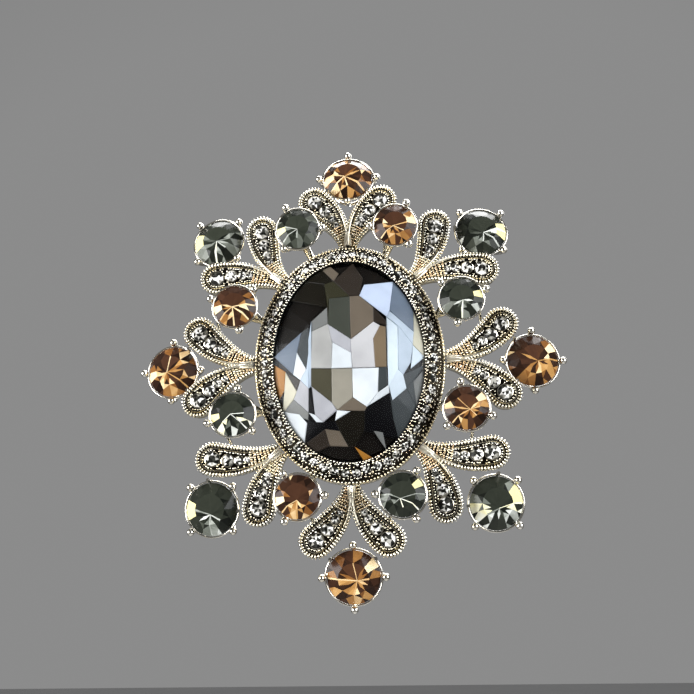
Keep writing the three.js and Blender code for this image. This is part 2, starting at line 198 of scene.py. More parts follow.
def ball(shape, centre, axes, slot=0, sides=8, rings=5):
    """An ellipsoid with three scaled axes. The second one joins its poles."""
    a, b, c = axes
    points = [centre - b]
    for i in range(1, rings):
        polar = math.pi * i / rings
        for j in range(sides):
            turn = 2 * math.pi * j / sides
            around = a * math.cos(turn) + c * math.sin(turn)
            points.append(centre - b * math.cos(polar) + around * math.sin(polar))
    points.append(centre + b)
    last = len(points) - 1
    faces = []
    for j in range(sides):
        k = (j + 1) % sides
        faces.append((0, 1 + j, 1 + k))
        faces.append((last, last - sides + k, last - sides + j))
        for i in range(rings - 2):
            start = 1 + i * sides
            faces.append((start + j, start + sides + j, start + sides + k, start + k))
    shape.add(points, faces, slot)


def bead(shape, centre, radius, slot=0, sides=8, rings=5):
    ball(shape, centre, (X * radius, Y * radius, Z * radius), slot, sides, rings)


def loft(shape, rows, slot=0, closed=False):
    """Joins sections, each a loop of points, into a skin. An open skin gets end caps.

    `slot` may be a list with a material number for each side of the section.
    """
    count = len(rows[0])
    points = [point for row in rows for point in row]
    faces = []
    slots = []
    for i in range(len(rows) if closed else len(rows) - 1):
        here = i * count
        there = (i + 1) % len(rows) * count
        for j in range(count):
            k = (j + 1) % count
            faces.append((here + j, here + k, there + k, there + j))
            slots.append(slot[j] if isinstance(slot, list) else slot)
    if not closed:
        end = (len(rows) - 1) * count
        faces.append(tuple(range(count)))
        faces.append(tuple(end + j for j in reversed(range(count))))
        slots += [slots[0], slots[0]]
    shape.add(points, faces, slots)


def tube(shape, path, radius, slot=0, sides=8, closed=False):
    """A round wire along a path. `radius` is a number or a list with one for each point."""
    rows = []
    for i, point in enumerate(path):
        before = path[i - 1] if i or closed else path[0]
        after = path[(i + 1) % len(path)] if closed or i + 1 < len(path) else path[-1]
        along = (after - before).normalized()
        side = along.cross(X if abs(along.y) > 0.9 else Y).normalized()
        over = side.cross(along)
        reach = radius[i] if isinstance(radius, list) else radius
        rows.append([
            point + (side * math.cos(turn) + over * math.sin(turn)) * reach
            for turn in (2 * math.pi * j / sides for j in range(sides))
        ])
    loft(shape, rows, slot, closed)


def circle(radius, y, count=48):
    """Points round the Y axis."""
    return [
        Vector((radius * math.cos(turn), y, radius * math.sin(turn)))
        for turn in (2 * math.pi * i / count for i in range(count))
    ]


def slab(shape, outline, back_y, front_slot):
    """A closed plate from an outline of points at its front, down to back_y."""
    count = len(outline)
    points = outline + [Vector((point.x, back_y, point.z)) for point in outline]
    faces = [tuple(range(count)), tuple(count + i for i in reversed(range(count)))]
    faces += [(i, (i + 1) % count, (i + 1) % count + count, i + count) for i in range(count)]
    shape.add(points, faces, [front_slot] + [0] * (count + 1))


# ---- materials -----------------------------------------------------------------------


# Noise scales in cells a metre.
DRIFT_SCALE = 260
GLOSS_SCALE = 900
RIPPLE_SCALE = 2500
RIPPLE_DEPTH = 0.00005
CRYSTAL_DRIFT = 0.12
CROWN_IOR = 1.14


def new_material(name):
    """A material, its node tree and its Principled shader."""
    material = bpy.data.materials.new(name)
    material.use_nodes = True
    return material, material.node_tree, material.node_tree.nodes["Principled BSDF"]


def noise(tree, scale, detail=3.0):
    """A noise value in the object's own coordinates. `scale` is in cells a metre."""
    place = tree.nodes.new("ShaderNodeTexCoord")
    texture = tree.nodes.new("ShaderNodeTexNoise")
    texture.inputs["Scale"].default_value = scale
    texture.inputs["Detail"].default_value = detail
    tree.links.new(place.outputs["Object"], texture.inputs["Vector"])
    return texture.outputs["Fac"]


def ramp(tree, value, stops):
    """A colour ramp. Each stop is a place from 0 to 1 and a linear colour."""
    node = tree.nodes.new("ShaderNodeValToRGB")
    band = node.color_ramp
    while len(band.elements) < len(stops):
        band.elements.new(0.5)
    for element, (place, colour) in zip(band.elements, stops):
        element.position = place
        element.color = (*colour, 1)
    tree.links.new(value, node.inputs["Fac"])
    return node.outputs["Color"]


def grey(level):
    return (level, level, level)


def bump(tree, shader, value, strength, distance):
    node = tree.nodes.new("ShaderNodeBump")
    node.inputs["Strength"].default_value = strength
    node.inputs["Distance"].default_value = distance
    tree.links.new(value, node.inputs["Height"])
    tree.links.new(node.outputs["Normal"], shader.inputs["Normal"])


def metal(name, stops, rough, ripple, patch=DRIFT_SCALE):
    """Plated metal: its colour drifts between stops, and its gloss and surface ripple."""
    material, tree, shader = new_material(name)
    shader.inputs["Metallic"].default_value = 1
    tree.links.new(ramp(tree, noise(tree, patch), stops), shader.inputs["Base Color"])
    gloss = ramp(tree, noise(tree, GLOSS_SCALE), [(0.3, grey(rough[0])), (0.7, grey(rough[1]))])
    tree.links.new(gloss, shader.inputs["Roughness"])
    bump(tree, shader, noise(tree, RIPPLE_SCALE, 2), ripple, RIPPLE_DEPTH)
    return material


def crystal(name, stops):
    """Foil-backed crystal: each facet's tone picks its colour from the stops. The tones are painted
    reflections and flashes over the stone's own tint.
    """
    material, tree, shader = new_material(name)
    tone = tree.nodes.new("ShaderNodeAttribute")
    tone.attribute_name = "tone"
    drift = tree.nodes.new("ShaderNodeMath")
    drift.operation = "MULTIPLY_ADD"
    tree.links.new(noise(tree, 700), drift.inputs[0])
    drift.inputs[1].default_value = CRYSTAL_DRIFT
    tree.links.new(tone.outputs["Fac"], drift.inputs[2])
    tree.links.new(ramp(tree, drift.outputs[0], stops), shader.inputs["Base Color"])
    shader.inputs["Roughness"].default_value = 0.2
    shader.inputs["Specular IOR Level"].default_value = 0.08
    shader.inputs["Coat Weight"].default_value = 0.06
    shader.inputs["Coat Roughness"].default_value = 0.02
    shader.inputs["Coat IOR"].default_value = 1.6
    return material


def facet_paint(name, colour):
    """One tone of the centre stone, with a faint drift across its facets. These tones are painted
    reflections and painted shade.
    """
    material, tree, shader = new_material(name)
    darker = tuple(0.82 * part for part in colour)
    stops = [(0.35, darker), (0.65, colour)]
    tree.links.new(ramp(tree, noise(tree, 220), stops), shader.inputs["Base Color"])
    shader.inputs["Roughness"].default_value = 0.35
    shader.inputs["Specular IOR Level"].default_value = 0.05
    return material


def clear_crown(name):
    """Clear crystal that only shows its gloss: light passes straight through."""
    material, tree, shader = new_material(name)
    clear = tree.nodes.new("ShaderNodeBsdfTransparent")
    mix = tree.nodes.new("ShaderNodeMixShader")
    facing = tree.nodes.new("ShaderNodeFresnel")
    facing.inputs["IOR"].default_value = CROWN_IOR
    side = tree.nodes.new("ShaderNodeNewGeometry")
    gloss = tree.nodes.new("ShaderNodeMath")
    gloss.operation = "SUBTRACT"
    gloss.use_clamp = True
    tree.links.new(facing.outputs[0], gloss.inputs[0])
    tree.links.new(side.outputs["Backfacing"], gloss.inputs[1])
    shader.inputs["Base Color"].default_value = (0.9, 0.95, 1, 1)
    shader.inputs["Metallic"].default_value = 1
    shader.inputs["Roughness"].default_value = 0.22
    tree.links.new(gloss.outputs[0], mix.inputs[0])
    tree.links.new(clear.outputs[0], mix.inputs[1])
    tree.links.new(shader.outputs[0], mix.inputs[2])
    tree.links.new(mix.outputs[0], tree.nodes["Material Output"].inputs["Surface"])
    return material


PLATING = metal(
    "champagne_plating",
    [(0.3, (0.58, 0.48, 0.28)), (0.5, (0.64, 0.57, 0.41)), (0.7, (0.67, 0.64, 0.54))],
    (0.12, 0.24), 0.25,
)
SILVER = metal(
    "bright_claws",
    [(0.3, (0.62, 0.57, 0.46)), (0.7, (0.74, 0.72, 0.66))],
    (0.06, 0.14), 0.1,
)
# Rougher and much paler than the plating: satin roughness, with a paler colour that is painted sheen so the
# ridges read silver-white.
SATIN_SHEEN = metal(
    "satin_sheen_ridges",
    [(0.3, (0.80, 0.72, 0.55)), (0.7, (0.88, 0.85, 0.76))],
    (0.22, 0.40), 0.7,
)
ROSE = metal(
    "rose_plating",
    [(0.3, (0.60, 0.40, 0.24)), (0.5, (0.68, 0.55, 0.36)), (0.7, (0.72, 0.66, 0.50))],
    (0.14, 0.28), 0.25, 420,
)
# Near-black copy of the plating: painted shade for the gaps between grains, the pocket floors and the
# stems' cores.
PAINTED_SHADE = metal(
    "painted_shade_metal",
    [(0.3, (0.005, 0.004, 0.003)), (0.7, (0.026, 0.021, 0.014))],
    (0.35, 0.55), 0.6,
)
# Paler and glossier than the plating, for grains, ribs and stone rings: the paler colour is partly painted
# highlight.
GRAINS = metal(
    "bright_grains",
    [(0.3, (0.70, 0.61, 0.42)), (0.5, (0.75, 0.71, 0.59)), (0.7, (0.80, 0.79, 0.74))],
    (0.06, 0.12), 0.1, 500,
)
STEEL = metal(
    "pin_steel",
    [(0.3, (0.68, 0.64, 0.56)), (0.7, (0.80, 0.77, 0.70))],
    (0.16, 0.30), 0.2,
)
CHAMPAGNE = crystal("champagne_crystal", [
    (0.05, (0.010, 0.005, 0.003)), (0.38, (0.060, 0.026, 0.014)),
    (0.60, (0.20, 0.080, 0.020)), (0.82, (0.48, 0.26, 0.085)), (0.95, (0.92, 0.72, 0.42)),
])
GREY = crystal("grey_crystal", [
    (0.05, (0.004, 0.005, 0.004)), (0.38, (0.030, 0.034, 0.025)), (0.60, (0.060, 0.066, 0.052)),
    (0.82, (0.20, 0.215, 0.185)), (0.92, (0.84, 0.86, 0.80)), (1.0, (0.86, 0.78, 0.38)),
])
PAVE = crystal("pave_crystal", [
    (0.05, (0.006, 0.006, 0.005)), (0.35, (0.05, 0.05, 0.043)),
    (0.60, (0.30, 0.29, 0.25)), (0.98, (0.96, 0.94, 0.90)),
])
CLEAR = clear_crown("clear_crown")

# ---- halo and cup --------------------------------------------------------------------


def oval_point(turn, out, y):
    """A point a distance outside the centre stone's outline."""
    return Vector(((OVAL_X + out) * math.cos(turn), y, (OVAL_Z + out) * math.sin(turn)))


def oval_out(turn):
    """The outward direction of the oval."""
    return Vector((math.cos(turn) / OVAL_X, 0, math.sin(turn) / OVAL_Z)).normalized()


def oval_turns(out, count, start=0.0):
    """Angles that space `count` points evenly along the oval."""
    fine = 720
    spots = [oval_point(2 * math.pi * i / fine, out, 0) for i in range(fine + 1)]
    lengths = [0.0]
    for before, after in zip(spots, spots[1:]):
        lengths.append(lengths[-1] + (after - before).length)
    turns = []
    i = 0
    for j in range(count):
        target = lengths[-1] * (j + start) / count
        while lengths[i + 1] < target:
            i += 1
        turns.append(2 * math.pi * (i + (target - lengths[i]) / (lengths[i + 1] - lengths[i])) / fine)
    return turns


def oval_sweep(shape, profile, slot=0, segments=160):
    """A profile of (out, y) points swept round the oval."""
    rows = [
        [oval_point(2 * math.pi * i / segments, out, y) for out, y in profile]
        for i in range(segments)
    ]
    loft(shape, rows, slot, closed=True)


def cup():
    """The cup, with its lip sunk a little behind the innermost row of grains."""
    shape = Shape()
    lip = CUP_LIP_Y + CUP_LIP_SINK
    oval_sweep(shape, [
        (CUP_INNER, lip), (CUP_INNER, CUP_FLOOR_Y), (CUP_OPENING, CUP_FLOOR_Y),
        (CUP_OPENING, CUP_BACK_Y), (CUP_OUTER - CUP_ROUND, CUP_BACK_Y),
        (CUP_OUTER, CUP_BACK_Y - CUP_ROUND), (CUP_OUTER, lip),
    ])
    mesh = make_mesh("cup", shape, [SILVER], sharp=40)
    put("cup", mesh, stands_for=["centre_cup"])


HALO_LEAN = math.atan2(HALO_OUTER_Y - HALO_INNER_Y, HALO_OUTER - HALO_INNER)
HALO_SLOPE = (HALO_OUTER_Y - HALO_INNER_Y) / (HALO_OUTER - HALO_INNER)
HALO_SINK = 0.2  # from the face that the stones' rims lie on to the painted-shade metal between them
HALO_LEDGE = 0.04  # how far outside the centre stone the level strip starts
HALO_LEDGE_THICK = 0.6
HALO_BEADS = 190
PAVE_COUNT = 58
PAVE_MIDDLE = 1.38
PAVE_RADIUS = 0.66
GRAIN_ROWS = (0.46, 0.80, 1.16, 1.52, 1.90, 2.28)
GRAINS_IN_ROW = 156  # in the first row, with GRAINS_MORE more in each row after it
GRAINS_MORE = 6
INNER_BEADS = 180
INNER_BEADS_OUT = 0.2


def halo_frame(turn, out, lift=0.0):
    """A point on the halo's face with its along, normal and across directions.

    The face slopes back outwards, apart from a level strip beside the centre stone.
    """
    outward = oval_out(turn)
    normal = -Y * math.cos(HALO_LEAN) + outward * math.sin(HALO_LEAN)
    across = outward * math.cos(HALO_LEAN) + Y * math.sin(HALO_LEAN)
    along = across.cross(normal)
    point = oval_point(turn, out, HALO_INNER_Y + HALO_SLOPE * max(0, out - HALO_INNER))
    return point + normal * lift, along, normal, across


def halo():
    """The frame, with painted shade as near-black metal under the stones and a row of beads on its outer
    edge.
    """
    shape = Shape()
    outer_wall = HALO_OUTER - 0.05
    rim = HALO_OUTER_Y - 0.05
    oval_sweep(shape, [
        (HALO_INNER, CUP_LIP_Y + HALO_LEDGE_THICK), (HALO_INNER, HALO_BACK_Y),
        (outer_wall - 0.15, HALO_BACK_Y), (outer_wall, HALO_BACK_Y - 0.15), (outer_wall, rim),
        (outer_wall - 0.15, rim - 0.12), (outer_wall - 0.5, rim - 0.23),
        (HALO_INNER, HALO_INNER_Y + HALO_SINK), (HALO_LEDGE, HALO_INNER_Y + HALO_SINK),
        (HALO_LEDGE, CUP_LIP_Y + HALO_LEDGE_THICK),
    ], [0, 0, 0, 0, 0, 1, 1, 1, 1, 0])
    for turn in oval_turns(2.78, HALO_BEADS):
        centre, along, normal, across = halo_frame(turn, 2.74, 0.02)
        ball(shape, centre, (along * 0.21, normal * 0.3, across * 0.33))
    mesh = make_mesh("halo", shape, [PLATING, PAINTED_SHADE], sharp=50)
    put("halo", mesh, stands_for=["halo_ring"])


def pave_stone(shape, centre, axes, radius, rng):
    """A small brilliant: a table, a crown and a short pavilion, each facet in its own tone of painted
    reflection.
    """
    along, normal, across = axes
    turn0 = rng.uniform(0, math.pi)

    def rim(reach, rise, shift):
        return [
            centre + (along * math.cos(turn) + across * math.sin(turn)) * reach * radius
            + normal * rise * radius
            for turn in (turn0 + (i + shift) * math.pi / 4 for i in range(8))
        ]

    points = [centre + normal * 0.36 * radius, *rim(0.55, 0.36, 0), *rim(1, 0.02, 0.5)]
    points += [centre - normal * 0.7 * radius]
    faces = []
    tones = []
    for i in range(8):
        j = (i + 1) % 8
        faces += [(0, 1 + i, 1 + j), (1 + i, 9 + i, 1 + j), (1 + j, 9 + i, 9 + j), (17, 9 + j, 9 + i)]
        tones += [rng.choice((0.0, 0.05, 0.2, 0.6, 1.0)) for _ in range(2)]
        tones += [rng.choice((0.0, 0.1, 0.5, 0.85, 1.0)) for _ in range(2)]
    shape.add(points, faces, 0, tones)


def halo_pave():
    """A ring of small stones in a field of bright grains."""
    rng = random.Random(11)
    stones = Shape()
    grains = Shape()
    spots = []
    for turn in oval_turns(PAVE_MIDDLE, PAVE_COUNT):
        centre, along, normal, across = halo_frame(turn, PAVE_MIDDLE + rng.uniform(-0.1, 0.1))
        size = PAVE_RADIUS + rng.uniform(-0.05, 0.05)
        pave_stone(stones, centre, (along, normal, across), size, rng)
        spots.append((centre, size))
    for row, out in enumerate(GRAIN_ROWS):
        for turn in oval_turns(out, GRAINS_IN_ROW + GRAINS_MORE * row, 0.5 * (row % 2)):
            shift = rng.uniform(-0.14, 0.14)
            grain = rng.uniform(0.1, 0.25)
            lift = 0.6 * grain - 0.15
            centre, *_ = halo_frame(turn + rng.uniform(-0.012, 0.012), out + shift, lift)
            if all((centre - spot).length > size + 0.03 for spot, size in spots):
                bead(grains, centre, grain, sides=6, rings=4)
    for turn in oval_turns(INNER_BEADS_OUT, INNER_BEADS):
        centre, *_ = halo_frame(turn, INNER_BEADS_OUT, -0.06)
        bead(grains, centre, rng.uniform(0.14, 0.19), sides=6, rings=4)
    put("halo_stones", make_mesh("halo_stones", stones, [PAVE]))
    mesh = make_mesh("halo_grains", grains, [GRAINS], sharp=60)
    put("halo_grains", mesh)


# ---- petals --------------------------------------------------------------------------


class Petal:
    """One petal: a curved centre line with a width that grows into a round head.

    Points are (across, up) pairs from the middle of the face, held in 2D vectors.
    """

    def __init__(self, turn, head, hand):
        edge = Vector(((OVAL_X + HALO_OUTER) * math.cos(turn), (OVAL_Z + HALO_OUTER) * math.sin(turn)))
        out = Vector((math.cos(turn) / (OVAL_X + HALO_OUTER), math.sin(turn) / (OVAL_Z + HALO_OUTER)))
        out.normalize()
        side = Vector((-out.y, out.x))
        self.hand = hand
        self.start = edge + out * GAP + side * hand * PETAL_SPREAD
        self.head = Vector(head)
        reach = (self.head - self.start).dot(out) * PETAL_BEND
        self.bend = self.start + out * reach + side * hand * PETAL_SHOULDER

    def point(self, t):
        return self.start * (1 - t) ** 2 + self.bend * 2 * t * (1 - t) + self.head * t ** 2

    def along(self, t):
        return ((self.bend - self.start) * (1 - t) + (self.head - self.bend) * t).normalized()

    def half(self, t):
        return PETAL_STEM + (PETAL_HEAD - PETAL_STEM) * math.sin(t * math.pi / 2) ** PETAL_SWELL

    def side_point(self, t, hand, inset):
        """A point inside one side. `hand` is 1 for the left of the centre line."""
        along = self.along(t)
        left = Vector((-along.y, along.x))
        return self.point(t) + left * hand * (self.half(t) - inset), left * hand

    def outline(self, inset, steps=14, arc=16):
        """Points and outward directions round the petal, from its root to its root."""
        spots = [self.side_point(i / steps, -1, inset) for i in range(steps + 1)]
        along = self.along(1)
        facing = math.atan2(along.y, along.x)
        for i in range(1, arc):
            turn = facing - math.pi / 2 + math.pi * i / arc
            out = Vector((math.cos(turn), math.sin(turn)))
            spots.append((self.head + out * (PETAL_HEAD - inset), out))
        spots += [self.side_point(i / steps, 1, inset) for i in reversed(range(steps + 1))]
        return spots

    def inside(self, point, margin):
        """True if a point is inside this petal by more than the margin."""
        return any(
            (point - self.point(i / 12)).length < self.half(i / 12) - margin for i in range(13)
        )

    def back_from_head(self, distance):
        """The t of the centre line's point that is this far from the head's centre."""
        t = 1.0
        walked = 0.0
        while t > 0 and walked < distance:
            t -= 0.01
            walked += (self.point(t + 0.01) - self.point(t)).length
        return max(t, 0.0)


def lay(spot, y):
    """A 2D face point at a depth."""
    return Vector((spot.x, y, spot.y))


def evenly(spots, pitch):
    """Points and directions at even steps along a line of (point, direction) pairs."""
    result = []
    due = pitch / 2
    for (start, first), (end, second) in zip(spots, spots[1:]):
        length = (end - start).length
        while due < length:
            share = due / length
            result.append((start.lerp(end, share), first.lerp(second, share).normalized()))
            due += pitch
        due -= length
    return result


FLOOR_Y = PETAL_FRONT_Y + 0.4
WALL_WIDE = 0.57
STONES_BACK = [(0.1, 1.02), (2.25, 0.84), (3.95, 0.58), (5.15, 0.4)]  # from the head, and radius
RIB_PITCH = 0.47
RIB_AXES = (0.205, 0.42, 0.43)  # along the edge, forwards and outwards
WIRE_INSET = 0.7
GRAIN_INSETS = (0.98, 1.34, 1.7, 2.06)
GRAIN_PITCH = 0.4
STEM_BACK = 5.4  # where the stem's grains end, from the head
STEM_ROWS = 9
RIDGE_END = 0.58
FORK_T = 0.26
ROOT_RIBS = (-0.42, 0, 0.42)


def petal_body(shape, petal, drop):
    """The plate with its pocket, and the raised wall round it. The pocket's floor and the wall's top and
    inner side are painted shade.
    """
    floor = [lay(spot, FLOOR_Y + drop) for spot, _ in petal.outline(0.15)]
    slab(shape, floor, PETAL_BACK_Y + drop, 1)
    rows = []
    for (outer, _), (inner, _) in zip(petal.outline(0.05), petal.outline(0.05 + WALL_WIDE)):
        rows.append([
            lay(outer, PETAL_BACK_Y - 0.05 + drop), lay(outer, PETAL_FRONT_Y + 0.45 + drop),
            lay(outer.lerp(inner, 0.3), PETAL_FRONT_Y + 0.25 + drop),
            lay(inner, PETAL_FRONT_Y + 0.25 + drop), lay(inner, PETAL_BACK_Y - 0.05 + drop),
        ])
    loft(shape, rows, [0, 1, 1, 1, 1])


def petal_edge(shape, petal, other):
    """Ribs that wrap over the outer edge, and a fine wire inside them."""
    for spot, out in evenly(petal.outline(0.17), RIB_PITCH):
        if other.inside(spot, 0.15):
            continue
        outward = Vector((out.x, 0, out.y))
        axes = (outward.cross(Y) * RIB_AXES[0], Y * RIB_AXES[1], outward * RIB_AXES[2])
        ball(shape, lay(spot, PETAL_FRONT_Y + 0.22), axes, 4)
    wire = []
    for spot, _ in petal.outline(WIRE_INSET):
        if not other.inside(spot, 0.3):
            wire.append(lay(spot, PETAL_FRONT_Y + 0.1))
    tube(shape, wire, 0.1, 0, sides=6)


def petal_stones(stones, grains, petal, rng):
    """Graduated stones from the head towards the stem, each in a wire ring."""
    seats = []
    for distance, radius in STONES_BACK:
        centre = lay(petal.point(petal.back_from_head(distance)), PETAL_FRONT_Y + 0.1)
        pave_stone(stones, centre, (X, -Y, Z), radius, rng)
        ring = [centre + spot for spot in circle(radius + 0.07, 0.0, 20)]
        tube(grains, ring, 0.075, sides=5, closed=True)
        seats.append((centre, radius))
    return seats


def petal_grains(grains, stem, petal, seats, rng):
    """Small beads that fill the pocket between the stones, rose-toned on the stem."""
    stem_end = petal.back_from_head(STEM_BACK)
    for inset in GRAIN_INSETS:
        for spot, _ in evenly(petal.outline(inset), GRAIN_PITCH):
            centre = lay(spot + Vector((rng.uniform(-0.06, 0.06), rng.uniform(-0.06, 0.06))),
                         PETAL_FRONT_Y + 0.14)
            clear = all((centre - seat).length > radius + 0.16 for seat, radius in seats)
            if clear and petal.inside(spot, inset - 0.05):
                bead(grains, centre, rng.uniform(0.13, 0.2), sides=7, rings=4)
    for i in range(STEM_ROWS):
        t = stem_end * (i + 0.3) / STEM_ROWS
        reach = petal.half(t) - 0.35
        count = max(2, round(2 * reach / 0.34))
        for j in range(count):
            share = (j + 0.5 + 0.3 * (-1) ** i) / count * 2 - 1
            spot, _ = petal.side_point(t, 1, petal.half(t) - share * reach)
            bead(stem, lay(spot, PETAL_FRONT_Y + 0.12), rng.uniform(0.16, 0.23), 2, sides=7, rings=4)


def fork_ridge(shape, petal):
    """A satin wire with a painted sheen from the shared root along the inner edge of the fork."""
    path = []
    radii = []
    steps = 16
    for i in range(steps):
        t = RIDGE_END * i / (steps - 1)
        spot, _ = petal.side_point(t, -petal.hand, 0.36 - 0.1 * t)
        path.append(lay(spot, PETAL_FRONT_Y - 0.35 + 0.5 * t))
        radii.append(0.25 - 0.28 * t)
    tube(shape, path, radii, 3)


def root_ribs(shape, pair):
    """Satin ribs with a painted sheen on a stem painted dark as painted shade, from the halo to where the
    petals part.
    """
    root = (pair[0].start + pair[1].start) / 2
    fork = (pair[0].point(FORK_T) + pair[1].point(FORK_T)) / 2
    out = (fork - root).normalized()
    for shift in ROOT_RIBS:
        aside = Vector((-out.y, out.x)) * shift
        front = PETAL_FRONT_Y - 0.4 + abs(shift) / 2
        path = [lay(root + aside, front), lay(root.lerp(fork, 0.8) + aside * 0.8, front),
                lay(fork + aside * 0.4, front + 0.3)]
        tube(shape, path, [0.19, 0.16, 0.1], 3)
    path = [lay(root, PETAL_FRONT_Y), lay(fork, PETAL_FRONT_Y)]
    tube(shape, path, [0.45, 0.26], 1)


def petal_pair(name, turn, heads):
    """One casting: two petals from a shared root, with their stones and grains."""
    rng = random.Random(name)
    metalwork = Shape()
    stones = Shape()
    grains = Shape()
    pair = [Petal(turn, heads[0], 1), Petal(turn, heads[1], -1)]
    for petal, other, drop in ((pair[0], pair[1], 0), (pair[1], pair[0], 0.012)):
        petal_body(metalwork, petal, drop)
        petal_edge(metalwork, petal, other)
        fork_ridge(metalwork, petal)
        seats = petal_stones(stones, grains, petal, rng)
        petal_grains(grains, metalwork, petal, seats, rng)
    root_ribs(metalwork, pair)
    materials = [PLATING, PAINTED_SHADE, ROSE, SATIN_SHEEN, GRAINS]
    mesh = make_mesh(f"casting_{name}", metalwork, materials, sharp=50)
    put(f"casting_{name}", mesh, stands_for=[f"petals_{name}"])
    put(f"petal_stones_{name}", make_mesh(f"petal_stones_{name}", stones, [PAVE]))
    mesh = make_mesh(f"petal_grains_{name}", grains, [GRAINS], sharp=60)
    put(f"petal_grains_{name}", mesh)


def mirrored(spot, sign_x, sign_z):
    return (spot[0] * sign_x, spot[1] * sign_z)


def petals():
    for name, sign in (("n", 1), ("s", -1)):
        heads = [mirrored(HEAD_NORTH, -sign, sign), mirrored(HEAD_NORTH, sign, sign)]
        petal_pair(name, sign * math.pi / 2, heads)
    for name, sign in (("e", 1), ("w", -1)):
        heads = [mirrored(HEAD_EAST, sign, sign), mirrored(HEAD_EAST, sign, -sign)]
        petal_pair(name, 0 if sign > 0 else math.pi, heads)
    for name, sign_x, sign_z in CORNERS:
        heads = [mirrored(HEAD_CORNER_HIGH, sign_x, sign_z), mirrored(HEAD_CORNER_WIDE, sign_x, sign_z)]
        if sign_x * sign_z < 0:
            heads.reverse()
        petal_pair(name, math.atan2(sign_z, sign_x), heads)


# ---- round stones and baskets --------------------------------------------------------


def stone_place(node, turn):
    """A round stone's place, its radius, and the matrix with its first claw at `turn`."""
    points = [vertex.co / MM for vertex in frame["nodes"][node].data.vertices]
    culet = max(points, key=lambda point: point.y)
    middle = sum(points, Vector()) / len(points)
    front = (middle - culet).normalized()
    radius = max((point - culet - front * (point - culet).dot(front)).length for point in points)
    centre = culet + front * PAVILION_SHARE * radius
    aim = Vector((math.cos(turn), 0, math.sin(turn)))
    side = (aim - front * aim.dot(front)).normalized()
    depth = -front
    up = side.cross(depth)
    place = Matrix.Translation(centre * MM) @ Matrix((side, depth, up)).transposed().to_4x4()
    return place, radius


